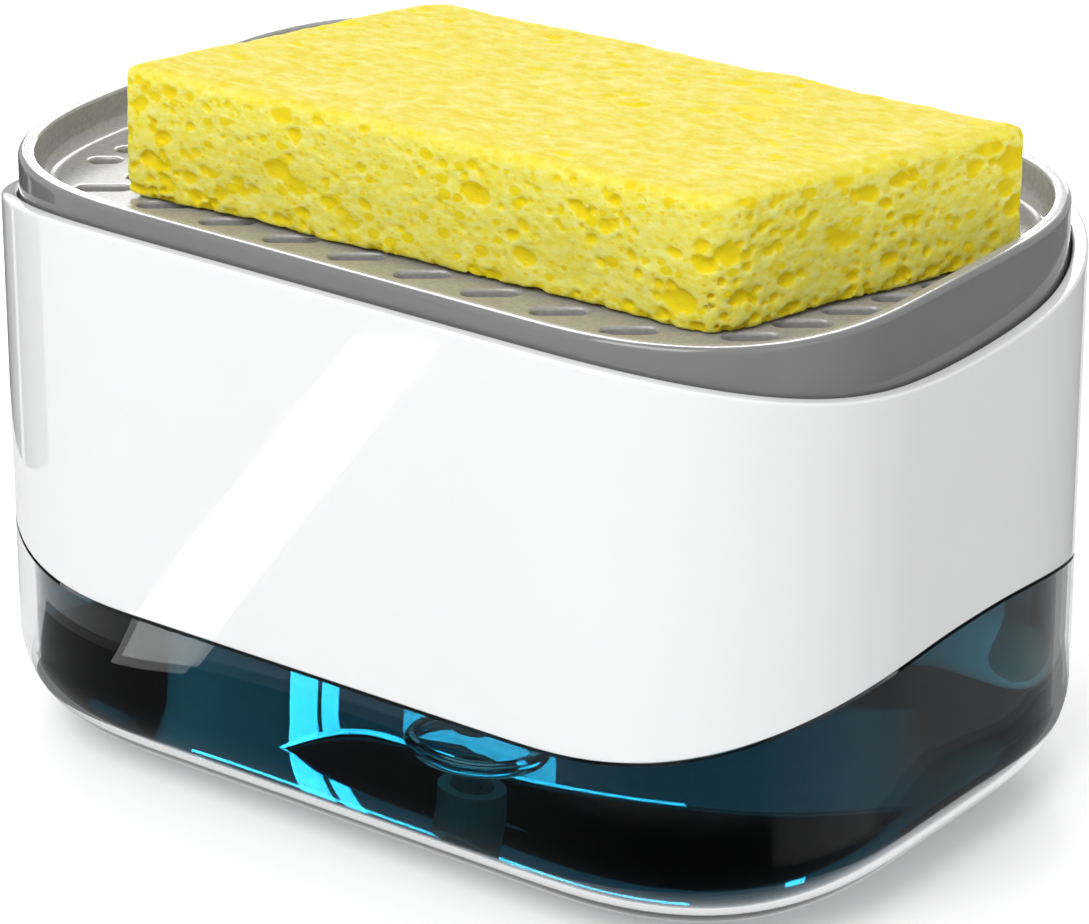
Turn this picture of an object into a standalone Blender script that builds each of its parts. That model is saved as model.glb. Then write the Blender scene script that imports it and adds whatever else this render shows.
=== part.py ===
"""Countertop dish soap pump dispenser with a sponge tray on top, in metres, +Z up.

The clear reservoir stands on four feet. A white sleeve with the pump deck lifts off it for refilling.
Pressing the grey tray drives the pump's piston, and soap comes up through the middle of the tray.
The origin is at the middle of the footprint, on the table.
"""
import math

import bmesh
import bpy
from mathutils import Matrix, Vector

# Clearances and cuts
CLEARANCE = 0.0003
CUT_OVERRUN = 0.002

# Plan outline shared by the reservoir, the sleeve and the tray
BODY_LENGTH = 0.140
BODY_WIDTH = 0.0975
CORNER_REACH = 0.0385
CORNER_POWER = 2.5
CORNER_STEPS = 9

# Feet
FOOT_DIAMETER = 0.010
FOOT_THICKNESS = 0.002
FOOT_PROUD = 0.0008
FOOT_FROM_MIDDLE_X = 0.042
FOOT_FROM_MIDDLE_Y = 0.0215

# Reservoir
RESERVOIR_HEIGHT = 0.0452
RESERVOIR_WALL = 0.0024
RESERVOIR_FLOOR = 0.0026
BASE_FILLET = 0.0136
INNER_FILLET = 0.0092
FILLET_STEPS = 5
SUMP_DIAMETER = 0.020
SUMP_WALL = 0.0016
SUMP_HEIGHT = 0.0012

# Sleeve
SLEEVE_WALL = 0.0021
SLEEVE_LAP_WALL = 0.0010
SLEEVE_EDGE_HEIGHT = 0.0255
SLEEVE_EDGE_RISE = 0.0097
SLEEVE_EDGE_POWER = 2.4
SLEEVE_RIM_DIP = 0.0077
SLEEVE_RIM_POWER = 2.0
WAVE_STEPS = 20

# Neck gasket and pump deck
NECK_GASKET_WIDTH = 0.0009
NECK_GASKET_THICKNESS = 0.0010
DECK_THICKNESS = 0.0027
DECK_SKIRT_WALL = 0.0015
DECK_SKIRT_DEPTH = 0.005
BOSS_DIAMETER = 0.031
BOSS_BORE = 0.024
BOSS_HEIGHT = 0.006

# Pump cylinder and what closes it
CYLINDER_BORE = 0.018
CYLINDER_WALL = 0.002
CYLINDER_FLANGE_DIAMETER = 0.0304
CYLINDER_FLANGE_THICKNESS = 0.0015
CYLINDER_GASKET_THICKNESS = 0.0008
LOCK_RING_WALL = 0.0022
LOCK_RING_TOP = 0.0018
LOCK_RING_HOLE = 0.020
LOCK_RING_RIB_DEPTH = 0.0007
LOCK_RING_RIBS = 12
GUIDE_PLUG_LENGTH = 0.004
GUIDE_FLANGE_THICKNESS = 0.0014

# Plunger
PRESS_STROKE = 0.009
HEAD_GAP = 0.0005
STEM_DIAMETER = 0.009
STEM_BORE = 0.0046
ROD_CUP_DIAMETER = 0.013
ROD_SOCKET_DEPTH = 0.0043
ROD_DIAMETER = 0.0068
ROD_BORE = 0.0026
ROD_FLANGE_THICKNESS = 0.0015
PISTON_HEIGHT = 0.0054
PISTON_LIP = 0.0012

# Valves
BALL_DIAMETER = 0.0048
BALL_LIFT = 0.0010
OUTLET_CHAMBER_DIAMETER = 0.006
INLET_CHAMBER_DIAMETER = 0.0064
INLET_HOLE = 0.003
SEAT_DEPTH = 0.0013
RETAINER_THICKNESS = 0.0015
RETAINER_HOLE = 0.0032
RETAINER_SIDE_HOLE = 0.0018
RETAINER_SIDE_HOLES = 4

# Spring
SPRING_LENGTH = 0.0161
SPRING_DIAMETER = 0.0124
SPRING_WIRE = 0.0012
SPRING_TURNS = 4.5
SPRING_STEPS = 12

# Dip tube
TAIL_DIAMETER = 0.0104
TAIL_WEB = 0.0006
TAIL_SOCKET_DEPTH = 0.0036
DIP_TUBE_DIAMETER = 0.006
DIP_TUBE_WALL = 0.001
DIP_TUBE_FLOOR_GAP = 0.0025

# Press tray
TRAY_GAP = 0.00035
TRAY_PROUD = 0.0027
TRAY_RIM_WIDTH = 0.0023
TRAY_DEPTH = 0.0055
TRAY_FLOOR = 0.0022
TRAY_SKIRT_WALL = 0.0018
TRAY_SKIRT_DEPTH = 0.014
TRAY_FLOOR_FILLET = 0.0025
TRAY_FILLET_STEPS = 3
TRAY_BOSS_DIAMETER = 0.016
TRAY_BOSS_LENGTH = 0.005
SLOT_LENGTH = 0.0073
SLOT_WIDTH = 0.0024
SHORT_SLOT_LENGTH = 0.0042
SLOT_ANGLE = math.radians(37)
SLOT_PITCH = 0.0109
SLOT_ROW_PITCH = 0.00745
SLOT_ROW_LEAN = 0.0026
SLOT_SHIFT = 0.0031
SLOT_MARGIN = 0.0042
SLOT_END_STEPS = 3

# Soap outlet in the middle of the tray
NOZZLE_DIAMETER = 0.012
NOZZLE_THICKNESS = 0.0011
NOZZLE_BORE = 0.0022
NOZZLE_SPIGOT_LENGTH = 0.005
NOZZLE_SPIGOT_DIAMETER = 0.0038
SEAL_SECTION = 0.0012
SEAL_GROOVE_HEIGHT = 0.0018
SEAL_ABOVE_BOSS_END = 0.0027

# Sponge, pressed a little out of square
SPONGE_LENGTH = 0.092
SPONGE_WIDTH = 0.0475
SPONGE_HEIGHT = 0.0182
SPONGE_LEAN = 0.016
SPONGE_TURN = math.radians(2.6)
SPONGE_FROM_MIDDLE_X = 0.008
SPONGE_FROM_MIDDLE_Y = -0.0044
SPONGE_BLUNT_RADIUS = 0.007
SPONGE_SHARP_RADIUS = 0.0026
SPONGE_EDGE_RADIUS = 0.002

# How finely round pieces are made
ROUND_STEPS = 28
SMALL_ROUND_STEPS = 20
BALL_SEGMENTS = 16
BALL_RINGS = 10
MERGE_DISTANCE = 0.000001
FLAT_ANGLE = math.radians(0.1)
SHARP_ANGLE = math.radians(35)
BEVEL_ANGLE = math.radians(60)

# Heights, from the table up
BASE_Z = FOOT_PROUD
FLOOR_Z = BASE_Z + RESERVOIR_FLOOR
NECK_TOP_Z = BASE_Z + RESERVOIR_HEIGHT
NECK_GASKET_Z = NECK_TOP_Z + CLEARANCE
DECK_Z = NECK_GASKET_Z + NECK_GASKET_THICKNESS + CLEARANCE
DECK_TOP_Z = DECK_Z + DECK_THICKNESS
SHOULDER_Z = DECK_TOP_Z + CLEARANCE
BOSS_TOP_Z = DECK_TOP_Z + BOSS_HEIGHT
CYLINDER_GASKET_Z = BOSS_TOP_Z + CLEARANCE
FLANGE_Z = CYLINDER_GASKET_Z + CYLINDER_GASKET_THICKNESS + CLEARANCE
FLANGE_TOP_Z = FLANGE_Z + CYLINDER_FLANGE_THICKNESS
LOCK_PLATE_Z = FLANGE_TOP_Z + CLEARANCE
LOCK_TOP_Z = LOCK_PLATE_Z + LOCK_RING_TOP
TRAY_BOSS_Z = LOCK_TOP_Z + HEAD_GAP + PRESS_STROKE
TRAY_UNDERSIDE_Z = TRAY_BOSS_Z + TRAY_BOSS_LENGTH
TRAY_FLOOR_Z = TRAY_UNDERSIDE_Z + TRAY_FLOOR
TRAY_RIM_Z = TRAY_FLOOR_Z + TRAY_DEPTH
SLEEVE_EDGE_Z = BASE_Z + SLEEVE_EDGE_HEIGHT
SLEEVE_RIM_Z = TRAY_RIM_Z - TRAY_PROUD

# Heights inside the pump, from its guide down
GUIDE_PLUG_Z = LOCK_PLATE_Z - GUIDE_PLUG_LENGTH
ROD_TOP_Z = GUIDE_PLUG_Z - CLEARANCE
ROD_LEDGE_Z = ROD_TOP_Z - ROD_SOCKET_DEPTH
STEM_BOTTOM_Z = ROD_LEDGE_Z + CLEARANCE
NOZZLE_SEAT_Z = TRAY_FLOOR_Z - NOZZLE_THICKNESS
STEM_TOP_Z = NOZZLE_SEAT_Z - CLEARANCE

# Half widths of the round pieces that fit in one another
CYLINDER_RADIUS = CYLINDER_BORE / 2 + CYLINDER_WALL
STEM_RADIUS = STEM_DIAMETER / 2
STEM_HOLE_RADIUS = STEM_RADIUS + CLEARANCE
BALL_RADIUS = BALL_DIAMETER / 2
DIP_TUBE_RADIUS = DIP_TUBE_DIAMETER / 2

# How far in from the body's outline each wall starts
NECK_INSET = SLEEVE_LAP_WALL + CLEARANCE
TRAY_INSET = SLEEVE_WALL + TRAY_GAP
RECESS_INSET = TRAY_INSET + TRAY_RIM_WIDTH
SKIRT_INSET = RESERVOIR_WALL + CLEARANCE


def ball_height(chamber_diameter, hole_diameter):
    """Height of a resting ball's middle above the foot of its seat, a cone from the hole to the chamber."""
    run = (chamber_diameter - hole_diameter) / 2
    slant = math.hypot(run, SEAT_DEPTH)
    return ((BALL_RADIUS + CLEARANCE) * slant - hole_diameter / 2 * SEAT_DEPTH) / run


# Outlet valve in the piston rod, and inlet valve in the cylinder's tail
OUTLET_BALL_Z = STEM_BOTTOM_Z - CLEARANCE - BALL_LIFT - BALL_RADIUS
OUTLET_SEAT_Z = OUTLET_BALL_Z - ball_height(OUTLET_CHAMBER_DIAMETER, ROD_BORE)
PISTON_Z = OUTLET_SEAT_Z - CLEARANCE - PISTON_HEIGHT
ROD_FLANGE_TOP_Z = PISTON_Z - CLEARANCE
ROD_BOTTOM_Z = ROD_FLANGE_TOP_Z - ROD_FLANGE_THICKNESS
SPRING_TOP_Z = ROD_BOTTOM_Z - CLEARANCE
SPRING_BOTTOM_Z = SPRING_TOP_Z - SPRING_LENGTH
RETAINER_TOP_Z = SPRING_BOTTOM_Z - CLEARANCE
RETAINER_Z = RETAINER_TOP_Z - RETAINER_THICKNESS
CYLINDER_FLOOR_Z = RETAINER_Z - CLEARANCE
INLET_BALL_Z = RETAINER_Z - CLEARANCE - BALL_LIFT - BALL_RADIUS
INLET_SEAT_Z = INLET_BALL_Z - ball_height(INLET_CHAMBER_DIAMETER, INLET_HOLE)
TAIL_SOCKET_TOP_Z = INLET_SEAT_Z - TAIL_WEB
TAIL_BOTTOM_Z = TAIL_SOCKET_TOP_Z - TAIL_SOCKET_DEPTH
DIP_TUBE_TOP_Z = TAIL_SOCKET_TOP_Z - CLEARANCE
DIP_TUBE_BOTTOM_Z = FLOOR_Z + DIP_TUBE_FLOOR_GAP


def clear_scene():
    for thing in list(bpy.data.objects):
        bpy.data.objects.remove(thing, do_unlink=True)


def new_collection(name):
    collection = bpy.data.collections.new(name)
    bpy.context.scene.collection.children.link(collection)
    return collection


def new_material(name, colour, roughness, metallic=0.0):
    material = bpy.data.materials.new(name)
    material.use_nodes = True
    shader = material.node_tree.nodes["Principled BSDF"]
    shader.inputs["Base Color"].default_value = (*colour, 1.0)
    shader.inputs["Roughness"].default_value = roughness
    shader.inputs["Metallic"].default_value = metallic
    return material


clear_scene()
PARTS = new_collection("dish_soap_pump_dispenser")
CUTTERS = new_collection("cutters")

CLEAR_PLASTIC = new_material("clear_plastic", (0.80, 0.84, 0.86), 0.05)
WHITE_PLASTIC = new_material("white_plastic", (0.88, 0.88, 0.88), 0.15)
GREY_PLASTIC = new_material("grey_plastic", (0.36, 0.36, 0.36), 0.25)
PUMP_PLASTIC = new_material("pump_plastic", (0.82, 0.82, 0.80), 0.35)
TUBE_PLASTIC = new_material("tube_plastic", (0.75, 0.77, 0.78), 0.30)
RUBBER = new_material("rubber", (0.10, 0.10, 0.10), 0.80)
SILICONE = new_material("silicone", (0.70, 0.72, 0.72), 0.55)
STEEL = new_material("steel", (0.62, 0.62, 0.64), 0.22, 1.0)
GLASS_BALL = new_material("glass_ball", (0.70, 0.78, 0.80), 0.08)
CELLULOSE = new_material("cellulose_sponge", (0.92, 0.80, 0.12), 0.95)


def shade(mesh):
    mesh.shade_smooth()
    mesh.set_sharp_from_angle(angle=SHARP_ANGLE)


def as_mesh(source, name):
    """Replace a curve or a profile with modifiers by a welded mesh object in the same place."""
    bpy.context.view_layer.update()
    evaluated = source.evaluated_get(bpy.context.evaluated_depsgraph_get())
    mesh = bpy.data.meshes.new_from_object(evaluated)
    mesh.name = name
    work = bmesh.new()
    work.from_mesh(mesh)
    bmesh.ops.remove_doubles(work, verts=work.verts, dist=MERGE_DISTANCE)
    bmesh.ops.dissolve_limit(work, angle_limit=FLAT_ANGLE, verts=work.verts, edges=work.edges)
    work.to_mesh(mesh)
    work.free()
    thing = bpy.data.objects.new(name, mesh)
    thing.matrix_world = source.matrix_world.copy()
    PARTS.objects.link(thing)
    bpy.data.objects.remove(source, do_unlink=True)
    return thing


def prism(name, loops, bottom, top):
    """Stand a flat outline, whose first loop may have holes in it, up between two heights."""
    curve = bpy.data.curves.new(name, "CURVE")
    curve.dimensions = "2D"
    curve.fill_mode = "BOTH"
    curve.extrude = (top - bottom) / 2
    for loop in loops:
        spline = curve.splines.new("POLY")
        spline.points.add(len(loop) - 1)
        for point, place in zip(spline.points, loop):
            point.co = (place[0], place[1], 0, 1)
        spline.use_cyclic_u = True
    flat = bpy.data.objects.new(name + "_outline", curve)
    flat.location.z = (top + bottom) / 2
    PARTS.objects.link(flat)
    return as_mesh(flat, name)


def turned(name, profile, origin_z, steps=ROUND_STEPS, closed=True):
    """Turn a profile of (radius, height) points about the Z axis. It runs down the outer side first."""
    mesh = bpy.data.meshes.new(name + "_profile")
    points = [(radius, 0, height - origin_z) for radius, height in profile]
    edges = [(index, index + 1) for index in range(len(points) - 1)]
    if closed:
        edges.append((len(points) - 1, 0))
    mesh.from_pydata(points, edges, [])
    half = bpy.data.objects.new(name + "_profile", mesh)
    half.location.z = origin_z
    PARTS.objects.link(half)
    screw = half.modifiers.new("turn", "SCREW")
    screw.axis = "Z"
    screw.angle = math.tau
    screw.steps = steps
    screw.render_steps = steps
    screw.use_merge_vertices = True
    screw.merge_threshold = MERGE_DISTANCE
    thing = as_mesh(half, name)
    shade(thing.data)
    return thing


def tube_profile(outer, inner, top, bottom):
    return [(outer, top), (outer, bottom), (inner, bottom), (inner, top)]


def make_cutter(thing):
    PARTS.objects.unlink(thing)
    CUTTERS.objects.link(thing)
    thing.hide_render = True
    thing.display_type = "WIRE"
    return thing


def boolean(thing, other, operation):
    modifier = thing.modifiers.new(other.name, "BOOLEAN")
    modifier.operation = operation
    modifier.solver = "EXACT"
    modifier.object = make_cutter(other)


def cut(thing, other):
    boolean(thing, other, "DIFFERENCE")


def join(thing, other):
    boolean(thing, other, "UNION")


def round_edges(thing, radius, steps):
    bevel = thing.modifiers.new("rounding", "BEVEL")
    bevel.width = radius
    bevel.segments = steps
    bevel.limit_method = "ANGLE"
    bevel.angle_limit = BEVEL_ANGLE


def finish(thing, material, parent=None):
    """Give a piece its material and, where it moves, hang it on its group's empty."""
    thing.data.materials.clear()
    thing.data.materials.append(material)
    if parent:
        thing.parent = parent
        thing.matrix_parent_inverse = parent.matrix_world.inverted()
    return thing


def group(name, height, parent=None):
    """An empty on the joint axis of the pieces that move together."""
    empty = bpy.data.objects.new(name, None)
    PARTS.objects.link(empty)
    empty.location.z = height
    bpy.context.view_layer.update()
    if parent:
        empty.parent = parent
        empty.matrix_parent_inverse = parent.matrix_world.inverted()
    return empty


def body_outline(inset):
    """The body's plan outline moved in by an even inset: straight sides and superelliptic corners."""
    side_x = BODY_LENGTH / 2 - CORNER_REACH
    side_y = BODY_WIDTH / 2 - CORNER_REACH
    corner = []
    for step in range(CORNER_STEPS + 1):
        angle = step / CORNER_STEPS * math.pi / 2
        along = max(math.cos(angle), 0.0)
        across = math.sin(angle)
        edge = Vector((along ** (2 / CORNER_POWER), across ** (2 / CORNER_POWER))) * CORNER_REACH
        outward = Vector((along ** (2 - 2 / CORNER_POWER), across ** (2 - 2 / CORNER_POWER))).normalized()
        corner.append(edge - outward * inset + Vector((side_x, side_y)))
    outline = []
    for sign_x, sign_y in ((1, 1), (-1, 1), (-1, -1), (1, -1)):
        quarter = corner if sign_x == sign_y else corner[::-1]
        outline += [(point.x * sign_x, point.y * sign_y) for point in quarter]
    return outline


def circle(diameter, steps, x=0, y=0):
    radius = diameter / 2
    angles = [math.tau * step / steps for step in range(steps)]
    return [(x + radius * math.cos(angle), y + radius * math.sin(angle)) for angle in angles]


def wave_height(y, edge, change, power):
    """Height of a sleeve edge seen from its end: level at front and back, changed by so much midway."""
    share = min(abs(y) / (BODY_WIDTH / 2), 1)
    return edge + change * (1 - share ** power)


def wave_block(name, edge, change, power, far):
    """A block along the whole body, between a sleeve edge's wave and a level far beyond it."""
    reach = BODY_WIDTH / 2 + CUT_OVERRUN
    places = [reach * (2 * step / WAVE_STEPS - 1) for step in range(WAVE_STEPS + 1)]
    outline = [(y, wave_height(y, edge, change, power)) for y in places]
    outline += [(reach, far), (-reach, far)]
    half_length = BODY_LENGTH / 2 + CUT_OVERRUN
    block = prism(name, [outline], -half_length, half_length)
    block.matrix_world = Matrix.Rotation(math.pi / 2, 4, "Z") @ Matrix.Rotation(math.pi / 2, 4, "X")
    return block


def foot_places():
    signs = ((-1, -1), (1, -1), (1, 1), (-1, 1))
    return [(FOOT_FROM_MIDDLE_X * sign_x, FOOT_FROM_MIDDLE_Y * sign_y) for sign_x, sign_y in signs]


def make_reservoir():
    """Clear tub with a rounded base, a neck that the sleeve slides over and a ring round its sump."""
    tub = prism("reservoir", [body_outline(0)], BASE_Z, SLEEVE_RIM_Z)
    round_edges(tub, BASE_FILLET, FILLET_STEPS)
    cut(tub, wave_block("reservoir_edge_cut", SLEEVE_EDGE_Z - CLEARANCE, SLEEVE_EDGE_RISE,
                        SLEEVE_EDGE_POWER, SLEEVE_RIM_Z + CUT_OVERRUN))
    neck_foot_z = BASE_Z + BASE_FILLET
    join(tub, prism("reservoir_neck", [body_outline(NECK_INSET)], neck_foot_z, NECK_TOP_Z))
    cavity = prism("reservoir_cavity", [body_outline(RESERVOIR_WALL)], FLOOR_Z, SLEEVE_RIM_Z)
    round_edges(cavity, INNER_FILLET, FILLET_STEPS)
    cut(tub, cavity)
    ring_foot_z = FLOOR_Z - RESERVOIR_FLOOR / 2
    ring = tube_profile(SUMP_DIAMETER / 2, SUMP_DIAMETER / 2 - SUMP_WALL, FLOOR_Z + SUMP_HEIGHT, ring_foot_z)
    join(tub, turned("reservoir_sump_ring", ring, ring_foot_z))
    pocket_top = FOOT_THICKNESS + CLEARANCE
    pocket = [circle(FOOT_DIAMETER + 2 * CLEARANCE, SMALL_ROUND_STEPS, x, y) for x, y in foot_places()]
    cut(tub, prism("reservoir_foot_pockets", pocket, BASE_Z - CUT_OVERRUN, pocket_top))
    return finish(tub, CLEAR_PLASTIC)


def make_feet():
    for number, (x, y) in enumerate(foot_places(), start=1):
        foot = turned(f"foot_{number}", [(0, FOOT_THICKNESS), (FOOT_DIAMETER / 2, FOOT_THICKNESS),
                                         (FOOT_DIAMETER / 2, 0), (0, 0)], 0, SMALL_ROUND_STEPS, closed=False)
        foot.location.x = x
        foot.location.y = y
        finish(foot, RUBBER)


def make_sleeve(parent):
    """White band round the pump. Its rim dips and its lower edge rises along the short sides."""
    sleeve = prism("sleeve", [body_outline(0)], SLEEVE_EDGE_Z - CUT_OVERRUN, SLEEVE_RIM_Z + CUT_OVERRUN)
    cut(sleeve, wave_block("sleeve_edge_cut", SLEEVE_EDGE_Z, SLEEVE_EDGE_RISE, SLEEVE_EDGE_POWER, 0))
    cut(sleeve, wave_block("sleeve_rim_cut", SLEEVE_RIM_Z, -SLEEVE_RIM_DIP, SLEEVE_RIM_POWER,
                           SLEEVE_RIM_Z + BODY_WIDTH))
    cut(sleeve, prism("sleeve_top_bore", [body_outline(SLEEVE_WALL)], SHOULDER_Z - CUT_OVERRUN,
                      SLEEVE_RIM_Z + 2 * CUT_OVERRUN))
    cut(sleeve, prism("sleeve_lap_bore", [body_outline(SLEEVE_LAP_WALL)], 0, SHOULDER_Z))
    return finish(sleeve, WHITE_PLASTIC, parent)


def make_deck(parent):
    """Plate that closes the reservoir and carries the pump on a round boss."""
    deck = prism("pump_deck", [body_outline(NECK_INSET)], DECK_Z, DECK_TOP_Z)
    skirt = [body_outline(SKIRT_INSET), body_outline(SKIRT_INSET + DECK_SKIRT_WALL)]
    skirt_head = DECK_Z + DECK_THICKNESS / 2
    join(deck, prism("deck_skirt", skirt, DECK_Z - DECK_SKIRT_DEPTH, skirt_head))
    join(deck, prism("deck_boss", [circle(BOSS_DIAMETER, ROUND_STEPS)], skirt_head, BOSS_TOP_Z))
    bore_foot = DECK_Z - CUT_OVERRUN
    cut(deck, prism("deck_bore", [circle(BOSS_BORE, ROUND_STEPS)], bore_foot, BOSS_TOP_Z + CUT_OVERRUN))
    return finish(deck, WHITE_PLASTIC, parent)


def make_gaskets(parent):
    neck_outer = RESERVOIR_WALL - NECK_GASKET_WIDTH
    ring = [body_outline(neck_outer), body_outline(RESERVOIR_WALL)]
    finish(prism("neck_gasket", ring, NECK_GASKET_Z, NECK_GASKET_Z + NECK_GASKET_THICKNESS), SILICONE, parent)
    washer = tube_profile(BOSS_DIAMETER / 2, BOSS_BORE / 2,
                          CYLINDER_GASKET_Z + CYLINDER_GASKET_THICKNESS, CYLINDER_GASKET_Z)
    finish(turned("cylinder_gasket", washer, CYLINDER_GASKET_Z), SILICONE, parent)


def make_cylinder(parent):
    """Pump barrel that hangs through the deck, with the inlet valve's seat and the dip tube's socket."""
    bore = CYLINDER_BORE / 2
    chamber = INLET_CHAMBER_DIAMETER / 2
    tail = TAIL_DIAMETER / 2
    socket = DIP_TUBE_RADIUS + CLEARANCE
    shoulder_z = CYLINDER_FLOOR_Z - CYLINDER_WALL
    profile = [
        (CYLINDER_FLANGE_DIAMETER / 2, FLANGE_TOP_Z),
        (CYLINDER_FLANGE_DIAMETER / 2, FLANGE_Z),
        (CYLINDER_RADIUS, FLANGE_Z),
        (CYLINDER_RADIUS, shoulder_z),
        (tail, shoulder_z),
        (tail, TAIL_BOTTOM_Z),
        (socket, TAIL_BOTTOM_Z),
        (socket, TAIL_SOCKET_TOP_Z),
        (INLET_HOLE / 2, TAIL_SOCKET_TOP_Z),
        (INLET_HOLE / 2, INLET_SEAT_Z),
        (chamber, INLET_SEAT_Z + SEAT_DEPTH),
        (chamber, CYLINDER_FLOOR_Z),
        (bore, CYLINDER_FLOOR_Z),
        (bore, FLANGE_TOP_Z),
    ]
    return finish(turned("pump_cylinder", profile, FLANGE_Z), PUMP_PLASTIC, parent)


def make_lock_ring(parent):
    """Ribbed cap that screws onto the deck's boss and holds the cylinder's flange down."""
    inner = BOSS_DIAMETER / 2 + CLEARANCE
    outer = inner + LOCK_RING_WALL
    foot_z = DECK_TOP_Z + CLEARANCE
    profile = [
        (LOCK_RING_HOLE / 2, LOCK_TOP_Z),
        (outer, LOCK_TOP_Z),
        (outer, foot_z),
        (inner, foot_z),
        (inner, LOCK_PLATE_Z),
        (LOCK_RING_HOLE / 2, LOCK_PLATE_Z),
    ]
    ring = turned("lock_ring", profile, foot_z, 2 * LOCK_RING_RIBS)
    rib_reach = (outer + LOCK_RING_RIB_DEPTH) / outer
    for vertex in ring.data.vertices:
        radius = math.hypot(vertex.co.x, vertex.co.y)
        place = round(math.atan2(vertex.co.y, vertex.co.x) / math.tau * 2 * LOCK_RING_RIBS)
        if radius > (inner + outer) / 2 and place % 2:
            vertex.co.x *= rib_reach
            vertex.co.y *= rib_reach
    return finish(ring, PUMP_PLASTIC, parent)


def make_stem_guide(parent):
    plug = CYLINDER_BORE / 2 - CLEARANCE
    flange = LOCK_RING_HOLE / 2 - CLEARANCE
    profile = [
        (flange, LOCK_PLATE_Z + GUIDE_FLANGE_THICKNESS),
        (flange, LOCK_PLATE_Z),
        (plug, LOCK_PLATE_Z),
        (plug, GUIDE_PLUG_Z),
        (STEM_HOLE_RADIUS, GUIDE_PLUG_Z),
        (STEM_HOLE_RADIUS, LOCK_PLATE_Z + GUIDE_FLANGE_THICKNESS),
    ]
    return finish(turned("stem_guide", profile, LOCK_PLATE_Z, SMALL_ROUND_STEPS), PUMP_PLASTIC, parent)


def make_retainer(parent):
    """Disc that keeps the inlet ball down and seats the spring, with holes for the soap."""
    disc = turned("inlet_retainer", tube_profile(CYLINDER_BORE / 2 - CLEARANCE, RETAINER_HOLE / 2,
                                                 RETAINER_TOP_Z, RETAINER_Z), RETAINER_Z, SMALL_ROUND_STEPS)
    ring = (INLET_CHAMBER_DIAMETER + RETAINER_SIDE_HOLE) / 2
    holes = []
    for number in range(RETAINER_SIDE_HOLES):
        angle = math.tau * number / RETAINER_SIDE_HOLES
        place = (ring * math.cos(angle), ring * math.sin(angle))
        holes.append(circle(RETAINER_SIDE_HOLE, BALL_RINGS, *place))
    cut(disc, prism("retainer_holes", holes, RETAINER_Z - CUT_OVERRUN, RETAINER_TOP_Z + CUT_OVERRUN))
    return finish(disc, PUMP_PLASTIC, parent)


def make_dip_tube(parent):
    profile = tube_profile(DIP_TUBE_RADIUS, DIP_TUBE_RADIUS - DIP_TUBE_WALL, DIP_TUBE_TOP_Z, DIP_TUBE_BOTTOM_Z)
    return finish(turned("dip_tube", profile, DIP_TUBE_BOTTOM_Z, SMALL_ROUND_STEPS), TUBE_PLASTIC, parent)


def slot_loop(x, y, length):
    """A slot with round ends, whose length runs at the slot angle."""
    radius = SLOT_WIDTH / 2
    run = length / 2 - radius
    loop = []
    for side in (1, -1):
        for step in range(SLOT_END_STEPS + 1):
            angle = math.pi * (step / SLOT_END_STEPS - 1 / 2)
            along = side * (run + radius * math.cos(angle))
            across = side * radius * math.sin(angle)
            loop.append((x + along * math.cos(SLOT_ANGLE) - across * math.sin(SLOT_ANGLE),
                         y + along * math.sin(SLOT_ANGLE) + across * math.cos(SLOT_ANGLE)))
    return loop


def inside_recess(x, y, margin):
    """Whether a point lies inside the tray's recess by a margin."""
    inset = RECESS_INSET + TRAY_FLOOR_FILLET + margin
    reach = CORNER_REACH - inset
    beyond_x = max(abs(x) - (BODY_LENGTH / 2 - CORNER_REACH), 0) / reach
    beyond_y = max(abs(y) - (BODY_WIDTH / 2 - CORNER_REACH), 0) / reach
    return beyond_x ** CORNER_POWER + beyond_y ** CORNER_POWER < 1


def slot_loops():
    """Rows of slots that lean along the tray. A slot that would meet the wall is a short one."""
    rows = int(BODY_WIDTH / 2 / SLOT_ROW_PITCH)
    columns = int(BODY_LENGTH / 2 / SLOT_PITCH) + 1
    outlet_reach = (TRAY_BOSS_DIAMETER + SLOT_LENGTH) / 2 + CLEARANCE
    loops = []
    for row in range(-rows, rows + 1):
        for column in range(-columns, columns + 1):
            x = SLOT_SHIFT + SLOT_ROW_LEAN * row + SLOT_PITCH * column
            y = SLOT_ROW_PITCH * row
            if math.hypot(x, y) < outlet_reach:
                continue
            if inside_recess(x, y, SLOT_MARGIN):
                loops.append(slot_loop(x, y, SLOT_LENGTH))
                continue
            step_in = (SLOT_LENGTH - SHORT_SLOT_LENGTH) / 2 * math.copysign(1, -x)
            x += step_in * math.cos(SLOT_ANGLE)
            y += step_in * math.sin(SLOT_ANGLE)
            if inside_recess(x, y, SLOT_MARGIN - SLOT_LENGTH / 2 + SHORT_SLOT_LENGTH / 2):
                loops.append(slot_loop(x, y, SHORT_SLOT_LENGTH))
    return loops


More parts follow.
